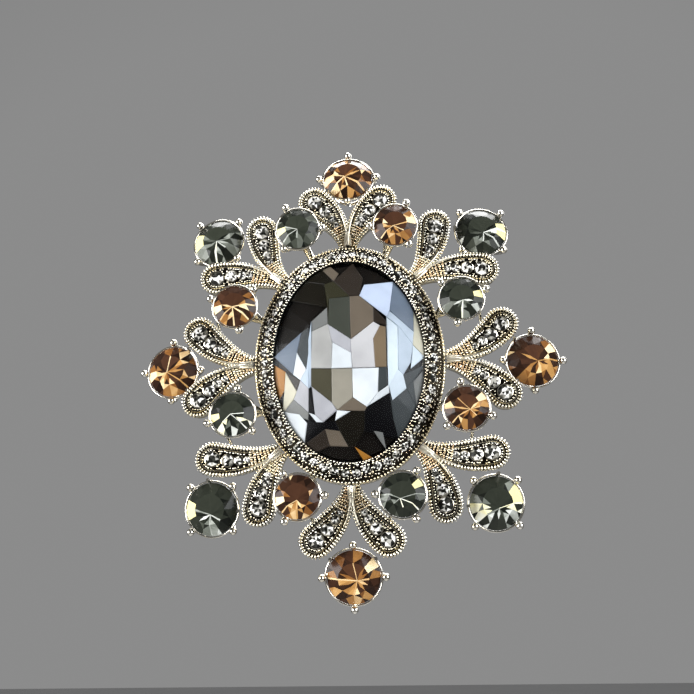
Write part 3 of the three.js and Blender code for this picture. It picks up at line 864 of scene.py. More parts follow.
class Brilliant:
    """A round stone in its own axes, -Y in front. Its rims run clockwise from the top.

    The table's wedges meet at the image of the point behind them. The upper ones mirror the
    dark room and the lower ones flash, with thin bright lines between them. `world_up` is the
    up direction in the stone's axes. `look` holds the share of dark facets, the share of
    facets that keep their wedge's tone, and the number of wedges that flash.
    """

    def __init__(self, radius, rng, world_up, look):
        self.radius = radius
        self.rng = rng
        self.gloom, self.order, self.flashes = look
        self.shape = Shape()
        self.up = Vector((world_up.x, 0, world_up.z)).normalized()
        self.side = Vector((self.up.z, 0, -self.up.x))
        crown = CROWN_SHARE * radius
        aside = self.side * rng.uniform(-CULET_ASIDE, CULET_ASIDE) - self.up * rng.uniform(*CULET_DOWN)
        self.culet = aside * radius - Y * crown
        self.table = self.rim(TABLE_SHARE, -crown, WEDGES)
        self.star = self.rim(STAR_SHARE, -crown * STAR_RISE, WEDGES // 2, 0.5)
        self.edge = self.rim(1, -GIRDLE_HALF, 2 * WEDGES)
        self.room = rng.uniform(*ROOM_TONES)
        self.heights = [math.cos(2 * math.pi * (i + 0.5) / WEDGES) for i in range(WEDGES)]
        self.wedge = [self.spark(height, DARK_TONES, WEDGE_TONES) for height in self.heights]

    def rim(self, reach, y, count, shift=0.0):
        return [
            (self.side * math.sin(turn) + self.up * math.cos(turn)) * reach * self.radius + Y * y
            for turn in (2 * math.pi * (i + shift) / count for i in range(count))
        ]

    def patch(self, corners, tone):
        self.shape.add(corners, [tuple(range(len(corners)))], 0, tone)

    def spark(self, height, dark, light):
        """A tone: mostly dark high on the stone, and mixed lower down."""
        if self.rng.random() < self.gloom + UPWARD_GLOOM * height:
            return self.rng.uniform(*dark)
        return self.rng.uniform(*light)

    def table_facets(self):
        """The gloomier the stone, the more of its table mirrors the dark room."""
        table, culet = self.table, self.culet
        lowest_room = 2.8 - 3.2 * self.gloom
        inner = [(point + culet) / 2 for point in self.rim(TABLE_SHARE, culet.y, WEDGES, 0.5)]
        for i in range(WEDGES):
            upper = self.heights[i] > lowest_room
            if upper:
                tone = self.room + self.rng.uniform(-ROOM_JITTER, ROOM_JITTER)
            else:
                tone = self.spark(self.heights[i], DARK_TONES, TABLE_TONES)
            self.patch([culet, inner[i - 1], table[i], inner[i]], tone)
            self.patch([table[i], table[(i + 1) % WEDGES], inner[i]], self.room if upper else self.wedge[i])

    def crown_facets(self, hand):
        """The facets round the table. The flash is on the right when `hand` is positive."""
        table, star, edge = self.table, self.star, self.edge
        flash = self.rng.choice((2, 3) if hand > 0 else (11, 12))
        for i in range(WEDGES // 2):
            a, b, c = table[2 * i], table[2 * i + 1], table[(2 * i + 2) % WEDGES]
            first, second, third, fourth, fifth = (edge[(4 * i + j) % (2 * WEDGES)] for j in range(5))
            halves = (
                ([a, b, star[i]], [a, first, second, star[i]], [star[i], second, third]),
                ([b, c, star[i]], [star[i], third, fourth], [c, star[i], fourth, fifth]),
            )
            for part, facets in enumerate(halves, 2 * i):
                for facet in facets:
                    self.patch(facet, self.crown_tone(part, flash))

    def crown_tone(self, part, flash):
        if 0 <= part - flash < self.flashes:
            return self.rng.uniform(*FLASH_TONES)
        if self.rng.random() < self.order:
            return self.wedge[part] + self.rng.uniform(-WEDGE_JITTER, WEDGE_JITTER)
        return self.spark(self.heights[part], CROWN_DARK_TONES, CROWN_TONES)

    def back_facets(self):
        """The girdle's wall and the pavilion."""
        edge = self.edge
        behind = self.rim(1, GIRDLE_HALF, 2 * WEDGES)
        point = Y * PAVILION_SHARE * self.radius
        for i in range(2 * WEDGES):
            j = (i + 1) % (2 * WEDGES)
            self.patch([edge[i], behind[i], behind[j], edge[j]], 0.5)
            if i % 2 == 0:
                after = behind[(i + 2) % (2 * WEDGES)]
                self.patch([behind[i], point, after, behind[j]], self.rng.uniform(*BACK_TONES))

    def bright_lines(self):
        """Thin painted highlights from the middle to the table's rim, and some of them on to the edge."""
        for i in range(WEDGES // 2):
            low = 1 < i < 7
            if self.rng.random() < LINE_CHANCE[low]:
                rim_point = self.table[2 * i]
                wide = self.rng.uniform(*LINE_WIDE) * self.radius
                tone = self.rng.uniform(*LINE_TONES)
                sliver(self.shape, self.culet, rim_point, LINE_START * self.radius, wide, tone)
                if low and self.rng.random() < LONG_LINE_CHANCE:
                    end = rim_point.lerp(self.edge[4 * i], LINE_REACH)
                    sliver(self.shape, rim_point, end, wide, LINE_END * self.radius, tone)


def chaton(name, radius, rng, world_up, hand, look, material):
    """The mesh of a round stone."""
    stone = Brilliant(radius, rng, world_up, look)
    stone.table_facets()
    stone.crown_facets(hand)
    stone.back_facets()
    stone.bright_lines()
    return weld(make_mesh(name, stone.shape, [material]))


def sliver(shape, start, end, near, far, tone):
    """A thin painted highlight just above the stone, with a half width at each end."""
    side = (end - start).cross(Y).normalized()
    corners = [start - side * near, start + side * near, end + side * far, end - side * far]
    points = [corner - Y * SLIVER_RISE for corner in corners]
    points += [corner + Y * SLIVER_DEPTH for corner in corners]
    sides = [(i, (i + 1) % 4, (i + 1) % 4 + 4, i + 4) for i in range(4)]
    shape.add(points, [(0, 1, 2, 3), (7, 6, 5, 4), *sides], 0, tone)


def weld(mesh):
    """Joins points that coincide, so that a faceted stone is one closed skin."""
    work = bmesh.new()
    work.from_mesh(mesh)
    bmesh.ops.remove_doubles(work, verts=work.verts, dist=1e-6)
    bmesh.ops.recalc_face_normals(work, faces=work.faces)
    work.to_mesh(mesh)
    work.free()
    return mesh


# Looks of the outer and inner stones, as Brilliant takes them.
LOOKS = {
    "champagne": ((0.62, 0.2, 1), (0.72, 0.2, 1)),
    "grey": ((0.76, 0.65, 2), (0.84, 0.5, 1)),
}
CLAW_OUT = 0.72
CLAW_RISE = 0.3
CLAW_BALL = 0.56
CLAW_THICK = 0.4
CLAW_STEPS = 8
KNEE_IN = 0.15
KNEE_DEPTH = 1.1
PRONG = [0.34, 0.2]
PRONG_RISE = 0.12
STUB_START = 0.1
OUTER_STUB = 0.45
INNER_STUB = 0.62
COLLAR_OUT = 0.22
COLLAR_WIRE = 0.15
BASE_SHARE = 0.62
BASE_DEPTH = 3.3
BASE_WIRE = 0.26


def basket_mesh(name, radius, claws, stubs):
    """Collar, base ring, claws with ball tips, and the wires that tie it to its neighbours."""
    shape = Shape()
    collar = radius + COLLAR_OUT
    base = radius * BASE_SHARE
    tube(shape, circle(collar, 0.0), COLLAR_WIRE, closed=True)
    tube(shape, circle(base, BASE_DEPTH, 36), BASE_WIRE, closed=True)
    for turn in claws:
        outward = X * math.cos(turn) + Z * math.sin(turn)
        tip = outward * (radius + CLAW_OUT) - Y * CLAW_RISE
        knee = outward * (radius + CLAW_OUT - KNEE_IN) + Y * KNEE_DEPTH
        foot = outward * base + Y * BASE_DEPTH
        bead(shape, tip, CLAW_BALL, sides=16, rings=10)
        shares = [i / CLAW_STEPS for i in range(CLAW_STEPS + 1)]
        path = [tip.lerp(knee, t).lerp(knee.lerp(foot, t), t) for t in shares]
        tube(shape, path, [CLAW_THICK * (1 - 0.2 * t) for t in shares])
        inward = outward * (collar - 0.05) - Y * PRONG_RISE
        tube(shape, [tip, inward], PRONG)
    for turn, reach, y in stubs:
        outward = X * math.cos(turn) + Z * math.sin(turn)
        tube(shape, [outward * collar + Y * STUB_START, outward * reach + Y * y], BASE_WIRE)
    return make_mesh(name, shape, [SILVER], sharp=50)


def round_stones():
    """Every round stone in its basket: champagne on the axes, and both tints between them."""
    outer_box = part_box("stone_e")
    inner_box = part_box("stone_ne_wide")
    outer_radius = (outer_box[1].z - outer_box[0].z) / 2 / MM
    inner_radius = (inner_box[1].z - inner_box[0].z) / 2 / MM
    four = [math.radians(turn) for turn in (0, 90, 180, 270)]
    three = [math.radians(turn) for turn in (0, 120, 240)]
    outer_stubs = [(math.radians(turn), outer_radius + OUTER_STUB, -KNEE_DEPTH) for turn in (131, 229)]
    tie_y = PETAL_FRONT_Y - (GIRDLE_Y - 2) - 0.35
    inner_stubs = [(math.radians(turn), inner_radius + INNER_STUB, tie_y) for turn in (60, 180, 300)]
    outer_basket = basket_mesh("outer_basket", outer_radius, four, outer_stubs)
    inner_basket = basket_mesh("inner_basket", inner_radius, three, inner_stubs)
    plan = [(name, turn, outer_basket, CHAMPAGNE) for name, turn in (
        ("n", math.pi / 2), ("s", -math.pi / 2), ("e", 0), ("w", math.pi))]
    for name, sign_x, sign_z in CORNERS:
        hand = sign_x * sign_z
        across = 0 if sign_x > 0 else math.pi
        high, wide = (CHAMPAGNE, GREY) if hand > 0 else (GREY, CHAMPAGNE)
        plan.append((name, math.atan2(sign_z, sign_x), outer_basket, GREY))
        plan.append((f"{name}_high", across + hand * CLAW_TURN_HIGH, inner_basket, high))
        plan.append((f"{name}_wide", across + hand * CLAW_TURN_WIDE, inner_basket, wide))
    for name, turn, basket, material in plan:
        place, radius = stone_place(f"stone_{name}", turn)
        rng = random.Random(f"stone {name}")
        up = place.to_3x3().inverted() @ Z
        hand = place.translation.x - face_place.translation.x
        tint = "champagne" if material == CHAMPAGNE else "grey"
        look = LOOKS[tint][0 if basket == outer_basket else 1]
        mesh = chaton(f"round_stone_{name}", radius, rng, up, hand, look, material)
        put(f"round_stone_{name}", mesh, place=place, stands_for=[f"stone_{name}"])
        put(f"basket_{name}", basket, place=place, stands_for=[f"setting_{name}"])


LEG_RADIUS = 0.55
LEG_STEPS = 8


def legs():
    """Textured gold legs that carry the inner stones on the halo."""
    rng = random.Random(3)
    shape = Shape()
    for name, sign_x, sign_z in CORNERS:
        for part in ("high", "wide"):
            low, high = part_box(f"stone_{name}_{part}")
            spot = (low + high) / 2 / MM - Vector((FACE_X, 0, FACE_Z))
            start = nearest_on_halo(spot)
            end = Vector((spot.x, start.y, spot.z)).lerp(start, 0.2)
            path = [start.lerp(end, i / LEG_STEPS) for i in range(LEG_STEPS + 1)]
            tube(shape, path, LEG_RADIUS)
            for point in path[:6]:
                for side in (-0.6, 0, 0.6):
                    across = (end - start).cross(Y).normalized() * side * LEG_RADIUS
                    front = Y * -LEG_RADIUS * math.cos(side)
                    bead(shape, point + across + front, rng.uniform(0.13, 0.2), sides=7, rings=4)
    put("legs", make_mesh("legs", shape, [PLATING], sharp=50))


def nearest_on_halo(spot):
    """The spot of the halo's outer edge that is nearest to a place, at the petals' depth."""
    edge = (oval_point(2 * math.pi * i / 360, HALO_OUTER - 0.3, 0) for i in range(360))
    near = min(edge, key=lambda point: (point - Vector((spot.x, 0, spot.z))).length)
    return near + Y * (PETAL_FRONT_Y + 0.75)


# ---- centre stone --------------------------------------------------------------------

# Linear colours of the tones in the stone: painted reflections, light and dark, over the stone's own tints.
TONES = {
    "white": (0.56, 0.60, 0.63),
    "pale": (0.38, 0.45, 0.53),
    "sky": (0.42, 0.49, 0.62),
    "lilac": (0.33, 0.335, 0.36),
    "silver": (0.33, 0.33, 0.32),
    "mist": (0.42, 0.42, 0.43),
    "steel": (0.11, 0.14, 0.185),
    "slate": (0.036, 0.042, 0.044),
    "ash": (0.15, 0.155, 0.15),
    "green": (0.043, 0.047, 0.038),
    "olive": (0.056, 0.052, 0.034),
    "beige": (0.24, 0.225, 0.185),
    "brown": (0.145, 0.108, 0.068),
    "taupe": (0.11, 0.09, 0.068),
    "umber": (0.022, 0.017, 0.013),
    "moss": (0.026, 0.025, 0.014),
    "night": (0.007, 0.006, 0.004),
    "ice": (0.52, 0.60, 0.67),
    "black": (0.002, 0.002, 0.0025),
    "amber": (0.30, 0.13, 0.02),
    "cream": (0.48, 0.46, 0.36),
}
# Painted shade: the near-black of the stone's inside.
DEEP_PAINTED_SHADE = (0.006, 0.005, 0.004)
# The patches of tone seen through the crown, painted reflections on fixed plates, as corners
# (across, up) in millimetres from the middle of the stone.
PATCHES = [
    ("green", [(-2.6, 8.6), (0.4, 8.8), (0.5, 2.3), (-2.8, 4.7)]),
    ("taupe", [(0.4, 8.8), (1.8, 8.9), (3.8, 7.0), (3.8, 4.8), (0.5, 2.3)]),
    ("umber", [(3.8, 7.0), (5.6, 4.9), (5.6, 4.2), (3.8, 4.8)]),
    ("moss", [(-3.4, 11.3), (-2.0, 11.7), (0.4, 8.8), (-2.6, 8.6), (-2.8, 4.7), (-2.9, 7.2)]),
    ("umber", [(-2.0, 11.7), (0.7, 14.1), (2.3, 12.1), (1.8, 8.9), (0.4, 8.8)]),
    ("taupe", [(-3.5, 12.9), (-2.5, 14.0), (-1.3, 13.1), (-2.0, 11.7)]),
    ("ash", [(-2.9, 7.2), (-2.8, 4.7), (-5.2, 3.6), (-5.2, 5.1)]),
    ("silver", [(-5.2, 3.6), (-2.8, 4.7), (-2.2, 2.0), (-2.3, -1.9), (-5.2, -1.8)]),
    ("lilac", [(-2.8, 4.7), (0.5, 2.3), (0.5, 0.3), (-2.2, 2.0)]),
    ("white", [(-2.2, 2.0), (0.5, 0.3), (0.6, -1.9), (-2.3, -1.9)]),
    ("mist", [(0.5, 2.3), (3.8, 4.8), (4.7, 4.2), (3.7, 2.3), (3.9, -1.9), (0.6, -1.9)]),
    ("brown", [(4.7, 4.2), (5.5, 4.0), (5.5, -1.9), (3.9, -1.9), (3.7, 2.3)]),
    ("pale", [(-5.6, 2.4), (-5.2, 5.1), (-5.2, -4.4), (-5.6, -4.7)]),
    ("ice", [(5.6, 5.6), (7.3, 4.3), (7.1, -2.3), (7.8, -2.9), (8.2, -4.8), (6.2, -6.6), (5.7, -4.6)]),
    ("pale", [(7.3, 4.3), (9.3, 1.7), (8.9, -1.0), (7.8, -2.9), (7.1, -2.3)]),
    ("ice", [(9.3, 1.7), (10.9, 0.1), (8.9, -1.9)]),
    ("sky", [(2.5, 10.9), (6.5, 11.4), (6.1, 6.7), (5.7, 5.6), (1.8, 8.9)]),
    ("steel", [(6.5, 11.4), (8.0, 10.1), (9.0, 6.9), (9.5, 3.7), (6.1, 6.7)]),
    ("pale", [(6.1, 6.7), (9.5, 3.7), (9.3, 1.7), (7.3, 4.3), (5.7, 5.6)]),
    ("cream", [(9.5, 3.7), (9.0, 6.9), (10.0, 5.9), (10.6, 2.8), (10.9, 0.1), (9.3, 1.7)]),
    ("steel", [(-10.8, 0.8), (-6.6, 3.7), (-7.3, 0.7), (-7.9, -2.4)]),
    ("slate", [(-6.6, 3.7), (-5.6, 4.2), (-5.5, 1.4), (-5.9, -2.0), (-7.3, 0.7)]),
    ("white", [(-7.3, 0.7), (-5.9, -2.0), (-6.8, -3.4), (-7.9, -2.4)]),
    ("pale", [(-5.9, -2.0), (-5.5, 1.4), (-5.6, -4.7), (-6.8, -3.4)]),
    ("lilac", [(-6.8, -3.4), (-5.6, -4.7), (-5.7, -8.0), (-7.9, -5.9)]),
    ("amber", [(-10.7, -0.4), (-9.1, -1.8), (-9.3, -4.4), (-9.9, -5.5), (-10.4, -3.1)]),
    ("umber", [(-9.1, -1.8), (-6.8, -3.4), (-7.4, -4.9)]),
    ("cream", [(-9.1, -1.8), (-7.4, -4.9), (-7.9, -5.9), (-8.8, -6.9), (-9.3, -6.9), (-9.3, -4.4)]),
    ("olive", [(-5.2, -1.9), (-2.3, -2.0), (-2.3, -6.9), (-5.2, -4.4)]),
    ("beige", [(-2.3, -2.0), (0.6, -2.0), (0.7, -6.2), (-1.6, -8.0), (-2.3, -6.9)]),
    ("white", [(0.6, -2.0), (4.4, -2.0), (4.2, -5.6), (2.6, -7.6), (0.7, -6.2)]),
    ("slate", [(4.4, -2.0), (5.5, -1.9), (5.6, -4.5), (4.2, -5.6)]),
    ("taupe", [(0.7, -6.2), (2.6, -7.6), (2.3, -8.2), (-1.6, -8.0)]),
    ("white", [(4.2, -5.6), (5.7, -4.6), (5.8, -5.6), (2.6, -7.6)]),
    ("lilac", [(-5.2, -4.4), (-2.3, -6.9), (-1.6, -8.0), (-3.6, -9.5), (-4.8, -8.4)]),
    ("white", [(-1.6, -8.0), (0.3, -8.2), (-1.9, -9.4)]),
    ("black", [(-5.6, -4.7), (-5.2, -4.6), (-4.8, -8.4), (-5.7, -8.0)]),
    ("white", [(-5.7, -8.0), (-4.8, -8.4), (-3.6, -9.5), (-4.6, -9.4)]),
    ("black", [(2.6, -7.6), (5.8, -5.6), (6.2, -9.0), (6.6, -11.6), (2.1, -10.8), (2.3, -8.2)]),
    ("night", [(-1.9, -9.4), (0.3, -8.2), (2.3, -8.2), (2.1, -10.8), (-1.3, -10.8)]),
    ("black", [(-5.8, -9.0), (-4.6, -9.4), (-3.6, -9.5), (-1.9, -9.4), (-1.3, -10.8), (-3.4, -10.4),
               (-5.8, -11.0)]),
    ("ash", [(-8.8, -6.9), (-7.9, -5.9), (-5.7, -8.0), (-5.8, -9.0)]),
    ("white", [(-8.8, -6.9), (-7.1, -8.1), (-6.0, -9.4), (-5.9, -11.0)]),
    ("umber", [(-5.8, -11.0), (-3.4, -10.4), (-2.8, -12.7), (-4.6, -12.9)]),
    ("taupe", [(-3.4, -10.4), (-1.3, -10.8), (-0.2, -12.9), (-2.8, -12.7)]),
    ("night", [(-1.3, -10.8), (2.1, -10.8), (0.7, -12.9), (-0.2, -12.9)]),
    ("amber", [(0.7, -12.9), (2.9, -13.5), (1.8, -14.1)]),
    ("ash", [(3.4, -10.8), (4.7, -11.0), (4.8, -12.5)]),
    ("slate", [(5.8, -5.6), (6.2, -6.6), (8.2, -4.8), (8.8, -6.7), (9.8, -6.5), (6.7, -11.4), (6.2, -9.0)]),
    ("slate", [(7.8, -2.9), (10.7, -1.1), (9.2, -3.8), (8.8, -6.7), (8.2, -4.8)]),
    ("ash", [(9.2, -3.8), (10.7, -1.6), (10.2, -5.3), (9.8, -6.5), (8.8, -6.7)]),
    ("night", [(-6.2, 12.0), (-3.5, 12.9), (-2.0, 11.7), (-3.4, 11.3)]),
    ("night", [(-8.5, 9.3), (-6.2, 12.0), (-3.4, 11.3), (-2.9, 7.2)]),
]


CROWN_STEP = 0.1  # from the crown's foot to the girdle, and from its top to the table
CROWN_SLOPE_SHARE = 0.4  # how much of the way in from the outline the crown slopes
PLATE_BEVEL = 0.1
PLATE_DEPTHS = (0.2, 0.26, 0.45)  # behind the crown: a plate's front, its bevel's foot, its back
PLATE_TILT = 0.03
PLATE_REACH = 0.996  # share of the outline that the outer plates reach
CROWN_TABLE = ((2.0, 8.6), (5.5, 4.8))
CROWN_RING = (0.88, 0.74)  # shares of the outline, taken in turn


def outline_share(x, z):
    """How far out a spot is: 0 in the middle of the stone, 1 on its outline."""
    return math.hypot(x / OVAL_X, z / OVAL_Z)


def crown_y(x, z, below):
    """The crown's surface at a spot, moved back by `below`."""
    slope = (1 - outline_share(x, z)) / CROWN_SLOPE_SHARE
    rise = (CENTRE_CROWN - CROWN_STEP) * min(1, max(0, slope))
    return GIRDLE_Y - CROWN_STEP - rise + below


def shrunk(corners, margin):
    """A polygon's corners moved inward by a margin."""
    count = len(corners)
    area = sum(a[0] * b[1] - b[0] * a[1] for a, b in zip(corners, corners[1:] + corners[:1]))
    sign = 1 if area > 0 else -1
    result = []
    for i, corner in enumerate(corners):
        here = Vector(corner)
        before = (here - Vector(corners[i - 1])).normalized()
        after = (Vector(corners[(i + 1) % count]) - here).normalized()
        inward = Vector((-before.y - after.y, before.x + after.x)) * sign
        reach = margin / max(0.45, inward.length / 2)
        result.append(here + inward.normalized() * reach)
    return result


def on_outline(corners):
    """A polygon whose corners near the stone's outline are moved onto it, curved between them."""
    result = []
    for here, there in zip(corners, corners[1:] + corners[:1]):
        outer = outline_share(*here) > 0.9
        steps = 4 if outer and outline_share(*there) > 0.9 else 1
        for i in range(steps):
            spot = Vector(here).lerp(Vector(there), i / steps)
            result.append(tuple(spot * PLATE_REACH / outline_share(*spot)) if outer else here)
    return result


def patch_plate(shape, corners, slot, rng):
    """One patch of tone as a thin tilted plate with a bevelled edge."""
    corners = on_outline(corners)
    middle = sum((Vector(corner) for corner in corners), Vector((0, 0))) / len(corners)
    tilt = Vector((rng.uniform(-PLATE_TILT, PLATE_TILT), rng.uniform(-PLATE_TILT, PLATE_TILT)))

    def level(spots, below):
        return [
            Vector((spot[0], crown_y(spot[0], spot[1], below) + tilt.dot(Vector(spot) - middle), spot[1]))
            for spot in spots
        ]

    front, edge, back = PLATE_DEPTHS
    loft(shape, [level(shrunk(corners, PLATE_BEVEL), front), level(corners, edge), level(corners, back)],
         slot)


def centre_facets():
    """Every patch of tone, as one piece behind the crown: painted reflections over the stone's own tints.
    """
    rng = random.Random(5)
    names = list(TONES)
    materials = [facet_paint(f"centre_{name}", TONES[name]) for name in names]
    plates = Shape()
    for name, corners in PATCHES:
        patch_plate(plates, corners, names.index(name), rng)
    put("centre_facets", make_mesh("centre_facets", plates, materials),
        stands_for=["centre_stone"])


def centre_body():
    """The inside of the stone and its pavilion, painted near-black as painted shade."""
    body = Shape()
    rows = []
    front = TABLE_Y + 0.9
    for share, y in ((0.3, front), (0.6, front), (0.97, GIRDLE_Y + 0.3), (0.97, GIRDLE_Y + 0.4),
                     (0.6, GIRDLE_Y + 0.55 * CENTRE_PAVILION), (0.25, GIRDLE_Y + 0.93 * CENTRE_PAVILION)):
        rows.append([
            Vector((OVAL_X * share * math.cos(turn), y, OVAL_Z * share * math.sin(turn)))
            for turn in (2 * math.pi * i / 32 for i in range(32))
        ])
    loft(body, rows)
    put("centre_body", make_mesh("centre_body", body, [facet_paint("centre_painted_shade", DEEP_PAINTED_SHADE)]))


def centre_crown():
    """The clear crown: the skin round its table, a ring of facet corners, and the girdle."""
    crown = bmesh.new()
    for x, z in CROWN_TABLE:
        for sign_x, sign_z in ((-1, -1), (-1, 1), (1, -1), (1, 1)):
            crown.verts.new(Vector((sign_x * x, TABLE_Y, sign_z * z)) * MM)
    for i in range(16):
        turn = (i + 0.5) * math.pi / 8
        share = CROWN_RING[i % 2]
        x, z = OVAL_X * share * math.cos(turn), OVAL_Z * share * math.sin(turn)
        crown.verts.new(Vector((x, crown_y(x, z, -0.06), z)) * MM)
    for i in range(32):
        turn = 2 * math.pi * i / 32
        for y in (GIRDLE_Y - 0.15, GIRDLE_Y):
            crown.verts.new(Vector((OVAL_X * math.cos(turn), y, OVAL_Z * math.sin(turn))) * MM)
    bmesh.ops.convex_hull(crown, input=crown.verts)
    mesh = bpy.data.meshes.new("centre_crown")
    bmesh.ops.dissolve_limit(crown, angle_limit=math.radians(1), verts=crown.verts, edges=crown.edges)
    crown.to_mesh(mesh)
    crown.free()
    mesh.materials.append(CLEAR)
    put("centre_crown", mesh)


def centre_stone():
    centre_facets()
    centre_body()
    centre_crown()


# ---- pin mechanism -------------------------------------------------------------------

bar_low, bar_high = (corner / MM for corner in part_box("bar_plate"))
pin_low, pin_high = (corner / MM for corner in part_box("pin_needle"))
barrel_low, barrel_high = (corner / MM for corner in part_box("catch_barrel"))
BAR_THICK = 1.2
PAD_LONG = 13.2
PAD_RISE = 0.4
FOOT_Y = GAP - PAD_RISE
FOOT_THICK = 0.7
FOOT_LONG = 4.4
KNUCKLE_RADIUS = 1.5
KNUCKLE_THICK = 2.0
HINGE_X = pin_low.x + KNUCKLE_RADIUS
PIN_Y = pin_low.y + KNUCKLE_RADIUS
PIN_TIP_X = pin_high.x
PIN_TAPER = 2.6
PIN_RADIUS = 0.5
EAR_THICK = 0.9
EAR_GAP = 2.3
EAR_RADIUS = 1.7
RIVET_RADIUS = 0.55
RIVET_HOLE = 0.62
RIVET_HEAD = 1.1
RIVET_HEAD_THICK = 0.45
CATCH_X = (barrel_low.x + barrel_high.x) / 2
BARREL_LONG = 4.0
BARREL_OUTER = 2.35
BARREL_BORE = 1.63
BARREL_SLOT = 1.5
NECK_WIDE = 2.6
SLEEVE_OUTER = 1.55
SLEEVE_BORE = 0.78
SLEEVE_SLOT = 1.4
SLEEVE_COLLAR = 2.1
COLLAR_THIN = 0.5
COLLAR_THICK = 1
LEVER_LONG = 4.4
LEVER_ROOT = SLEEVE_BORE + 0.3
LEVER_WIDE = 1.7
LEVER_TAPER = 0.7
LEVER_TURN = math.radians(60)


def extrude(shape, outline, step, slot=0):
    """A closed prism from an outline, pushed along a step."""
    loft(shape, [outline, [point + step for point in outline]], slot)


def box_shape(shape, low, high):
    corners = [Vector((low[0], low[1], z)) for z in (low[2], high[2])]
    corners += [Vector((low[0], high[1], z)) for z in (high[2], low[2])]
    extrude(shape, corners, X * (high[0] - low[0]))


def arc(radius, start, end, count=20):
    """Points (along Y, along Z) on an arc. Angle 0 is along +Y."""
    turns = (start + (end - start) * i / (count - 1) for i in range(count))
    return [(radius * math.cos(turn), radius * math.sin(turn)) for turn in turns]


def slotted(outer, bore, slot):
    """The section of a slotted tube: an open ring with its slot towards +Y."""
    outside = math.asin(slot / 2 / outer)
    inside = math.asin(slot / 2 / bore)
    ring = arc(outer, outside, 2 * math.pi - outside, 36)
    return ring + arc(bore, 2 * math.pi - inside, inside, 28)


def along_pin(shape, section, start, end):
    """A section round the pin's axis, pushed along X."""
    outline = [Vector((start, PIN_Y + y, z)) for y, z in section]
    extrude(shape, outline, X * (end - start))


def metal_part(name, shape, body, material, round_edge=0.08):
    """A machined part with small rounded edges, in place of its CAD node."""
    piece = put(f"{name}_detail", make_mesh(f"{name}_detail", shape, [material], sharp=35), body,
                Matrix(), [name])
    bevel = piece.modifiers.new("rounded_edges", "BEVEL")
    bevel.width = round_edge * MM
    bevel.segments = 3
    bevel.limit_method = "ANGLE"
    bevel.angle_limit = math.radians(40)
    bevel.harden_normals = True


def bar():
    shape = Shape()
    end = (bar_high.z - bar_low.z) / 2
    run = (bar_high.x - bar_low.x) / 2 - end
    outline = []
    for side in (1, -1):
        for i in range(17):
            turn = math.pi * (i / 16 - 0.5)
            outline.append(Vector((
                side * (run + end * math.cos(turn)), bar_low.y, side * end * math.sin(turn))))
    extrude(shape, outline, Y * (BAR_THICK - PAD_RISE))
    box_shape(shape, (-PAD_LONG / 2, PAD_RISE - BAR_THICK, -end), (PAD_LONG / 2, 0, end))
    metal_part("bar_plate", shape, "brooch", PLATING, 0.15)


def foot(shape, x):
    box_shape(shape, (x - FOOT_LONG / 2, FOOT_Y, bar_low.z),
              (x + FOOT_LONG / 2, FOOT_Y + FOOT_THICK, bar_high.z))


def hinge():
    shape = Shape()
    foot(shape, HINGE_X)
    for low_z in (EAR_GAP / 2, -EAR_GAP / 2 - EAR_THICK):
        top = [(EAR_RADIUS * math.cos(turn), PIN_Y + EAR_RADIUS * math.sin(turn))
               for turn in (math.pi * i / 20 for i in range(21))]
        side = [(EAR_RADIUS, FOOT_Y), *top, (-EAR_RADIUS, FOOT_Y)]
        extrude(shape, [Vector((HINGE_X + x, y, low_z)) for x, y in side], Z * EAR_THICK)
    metal_part("hinge_bracket", shape, "brooch", STEEL)

    rivet = Shape()
    end = EAR_GAP / 2 + EAR_THICK + 0.1
    centre = Vector((HINGE_X, PIN_Y, 0))
    tube(rivet, [centre - Z * end, centre + Z * end], RIVET_RADIUS, sides=20)
    for side in (-1, 1):
        rise = [0, 0.6 * RIVET_HEAD_THICK, 0.9 * RIVET_HEAD_THICK, RIVET_HEAD_THICK]
        path = [centre + Z * side * (end + height) for height in rise]
        tube(rivet, path, [RIVET_HEAD, RIVET_HEAD, 0.75 * RIVET_HEAD, 0.35 * RIVET_HEAD], sides=24)
    metal_part("hinge_rivet", rivet, "brooch", STEEL, 0.04)


def pin():
    shape = Shape()
    half = KNUCKLE_THICK / 2
    rows = []
    for i in range(32):
        turn = 2 * math.pi * i / 32
        out = X * math.cos(turn) + Y * math.sin(turn)
        centre = Vector((HINGE_X, PIN_Y, 0))
        rows.append([
            centre + out * radius + Z * level for radius, level in (
                (RIVET_HOLE, -half), (KNUCKLE_RADIUS, -half), (KNUCKLE_RADIUS, half), (RIVET_HOLE, half))
        ])
    loft(shape, rows, closed=True)
    start = HINGE_X + 0.75 * KNUCKLE_RADIUS
    path = [start, PIN_TIP_X - PIN_TAPER]
    radii = [PIN_RADIUS, PIN_RADIUS]
    for share in (0.25, 0.5, 0.75, 0.92, 1.0):
        path.append(PIN_TIP_X - PIN_TAPER * (1 - share))
        radii.append(PIN_RADIUS * max(0.06, (1 - share) ** 0.8))
    tube(shape, [Vector((x, PIN_Y, 0)) for x in path], radii, sides=16)
    metal_part("pin_needle", shape, "pin", STEEL, 0.1)


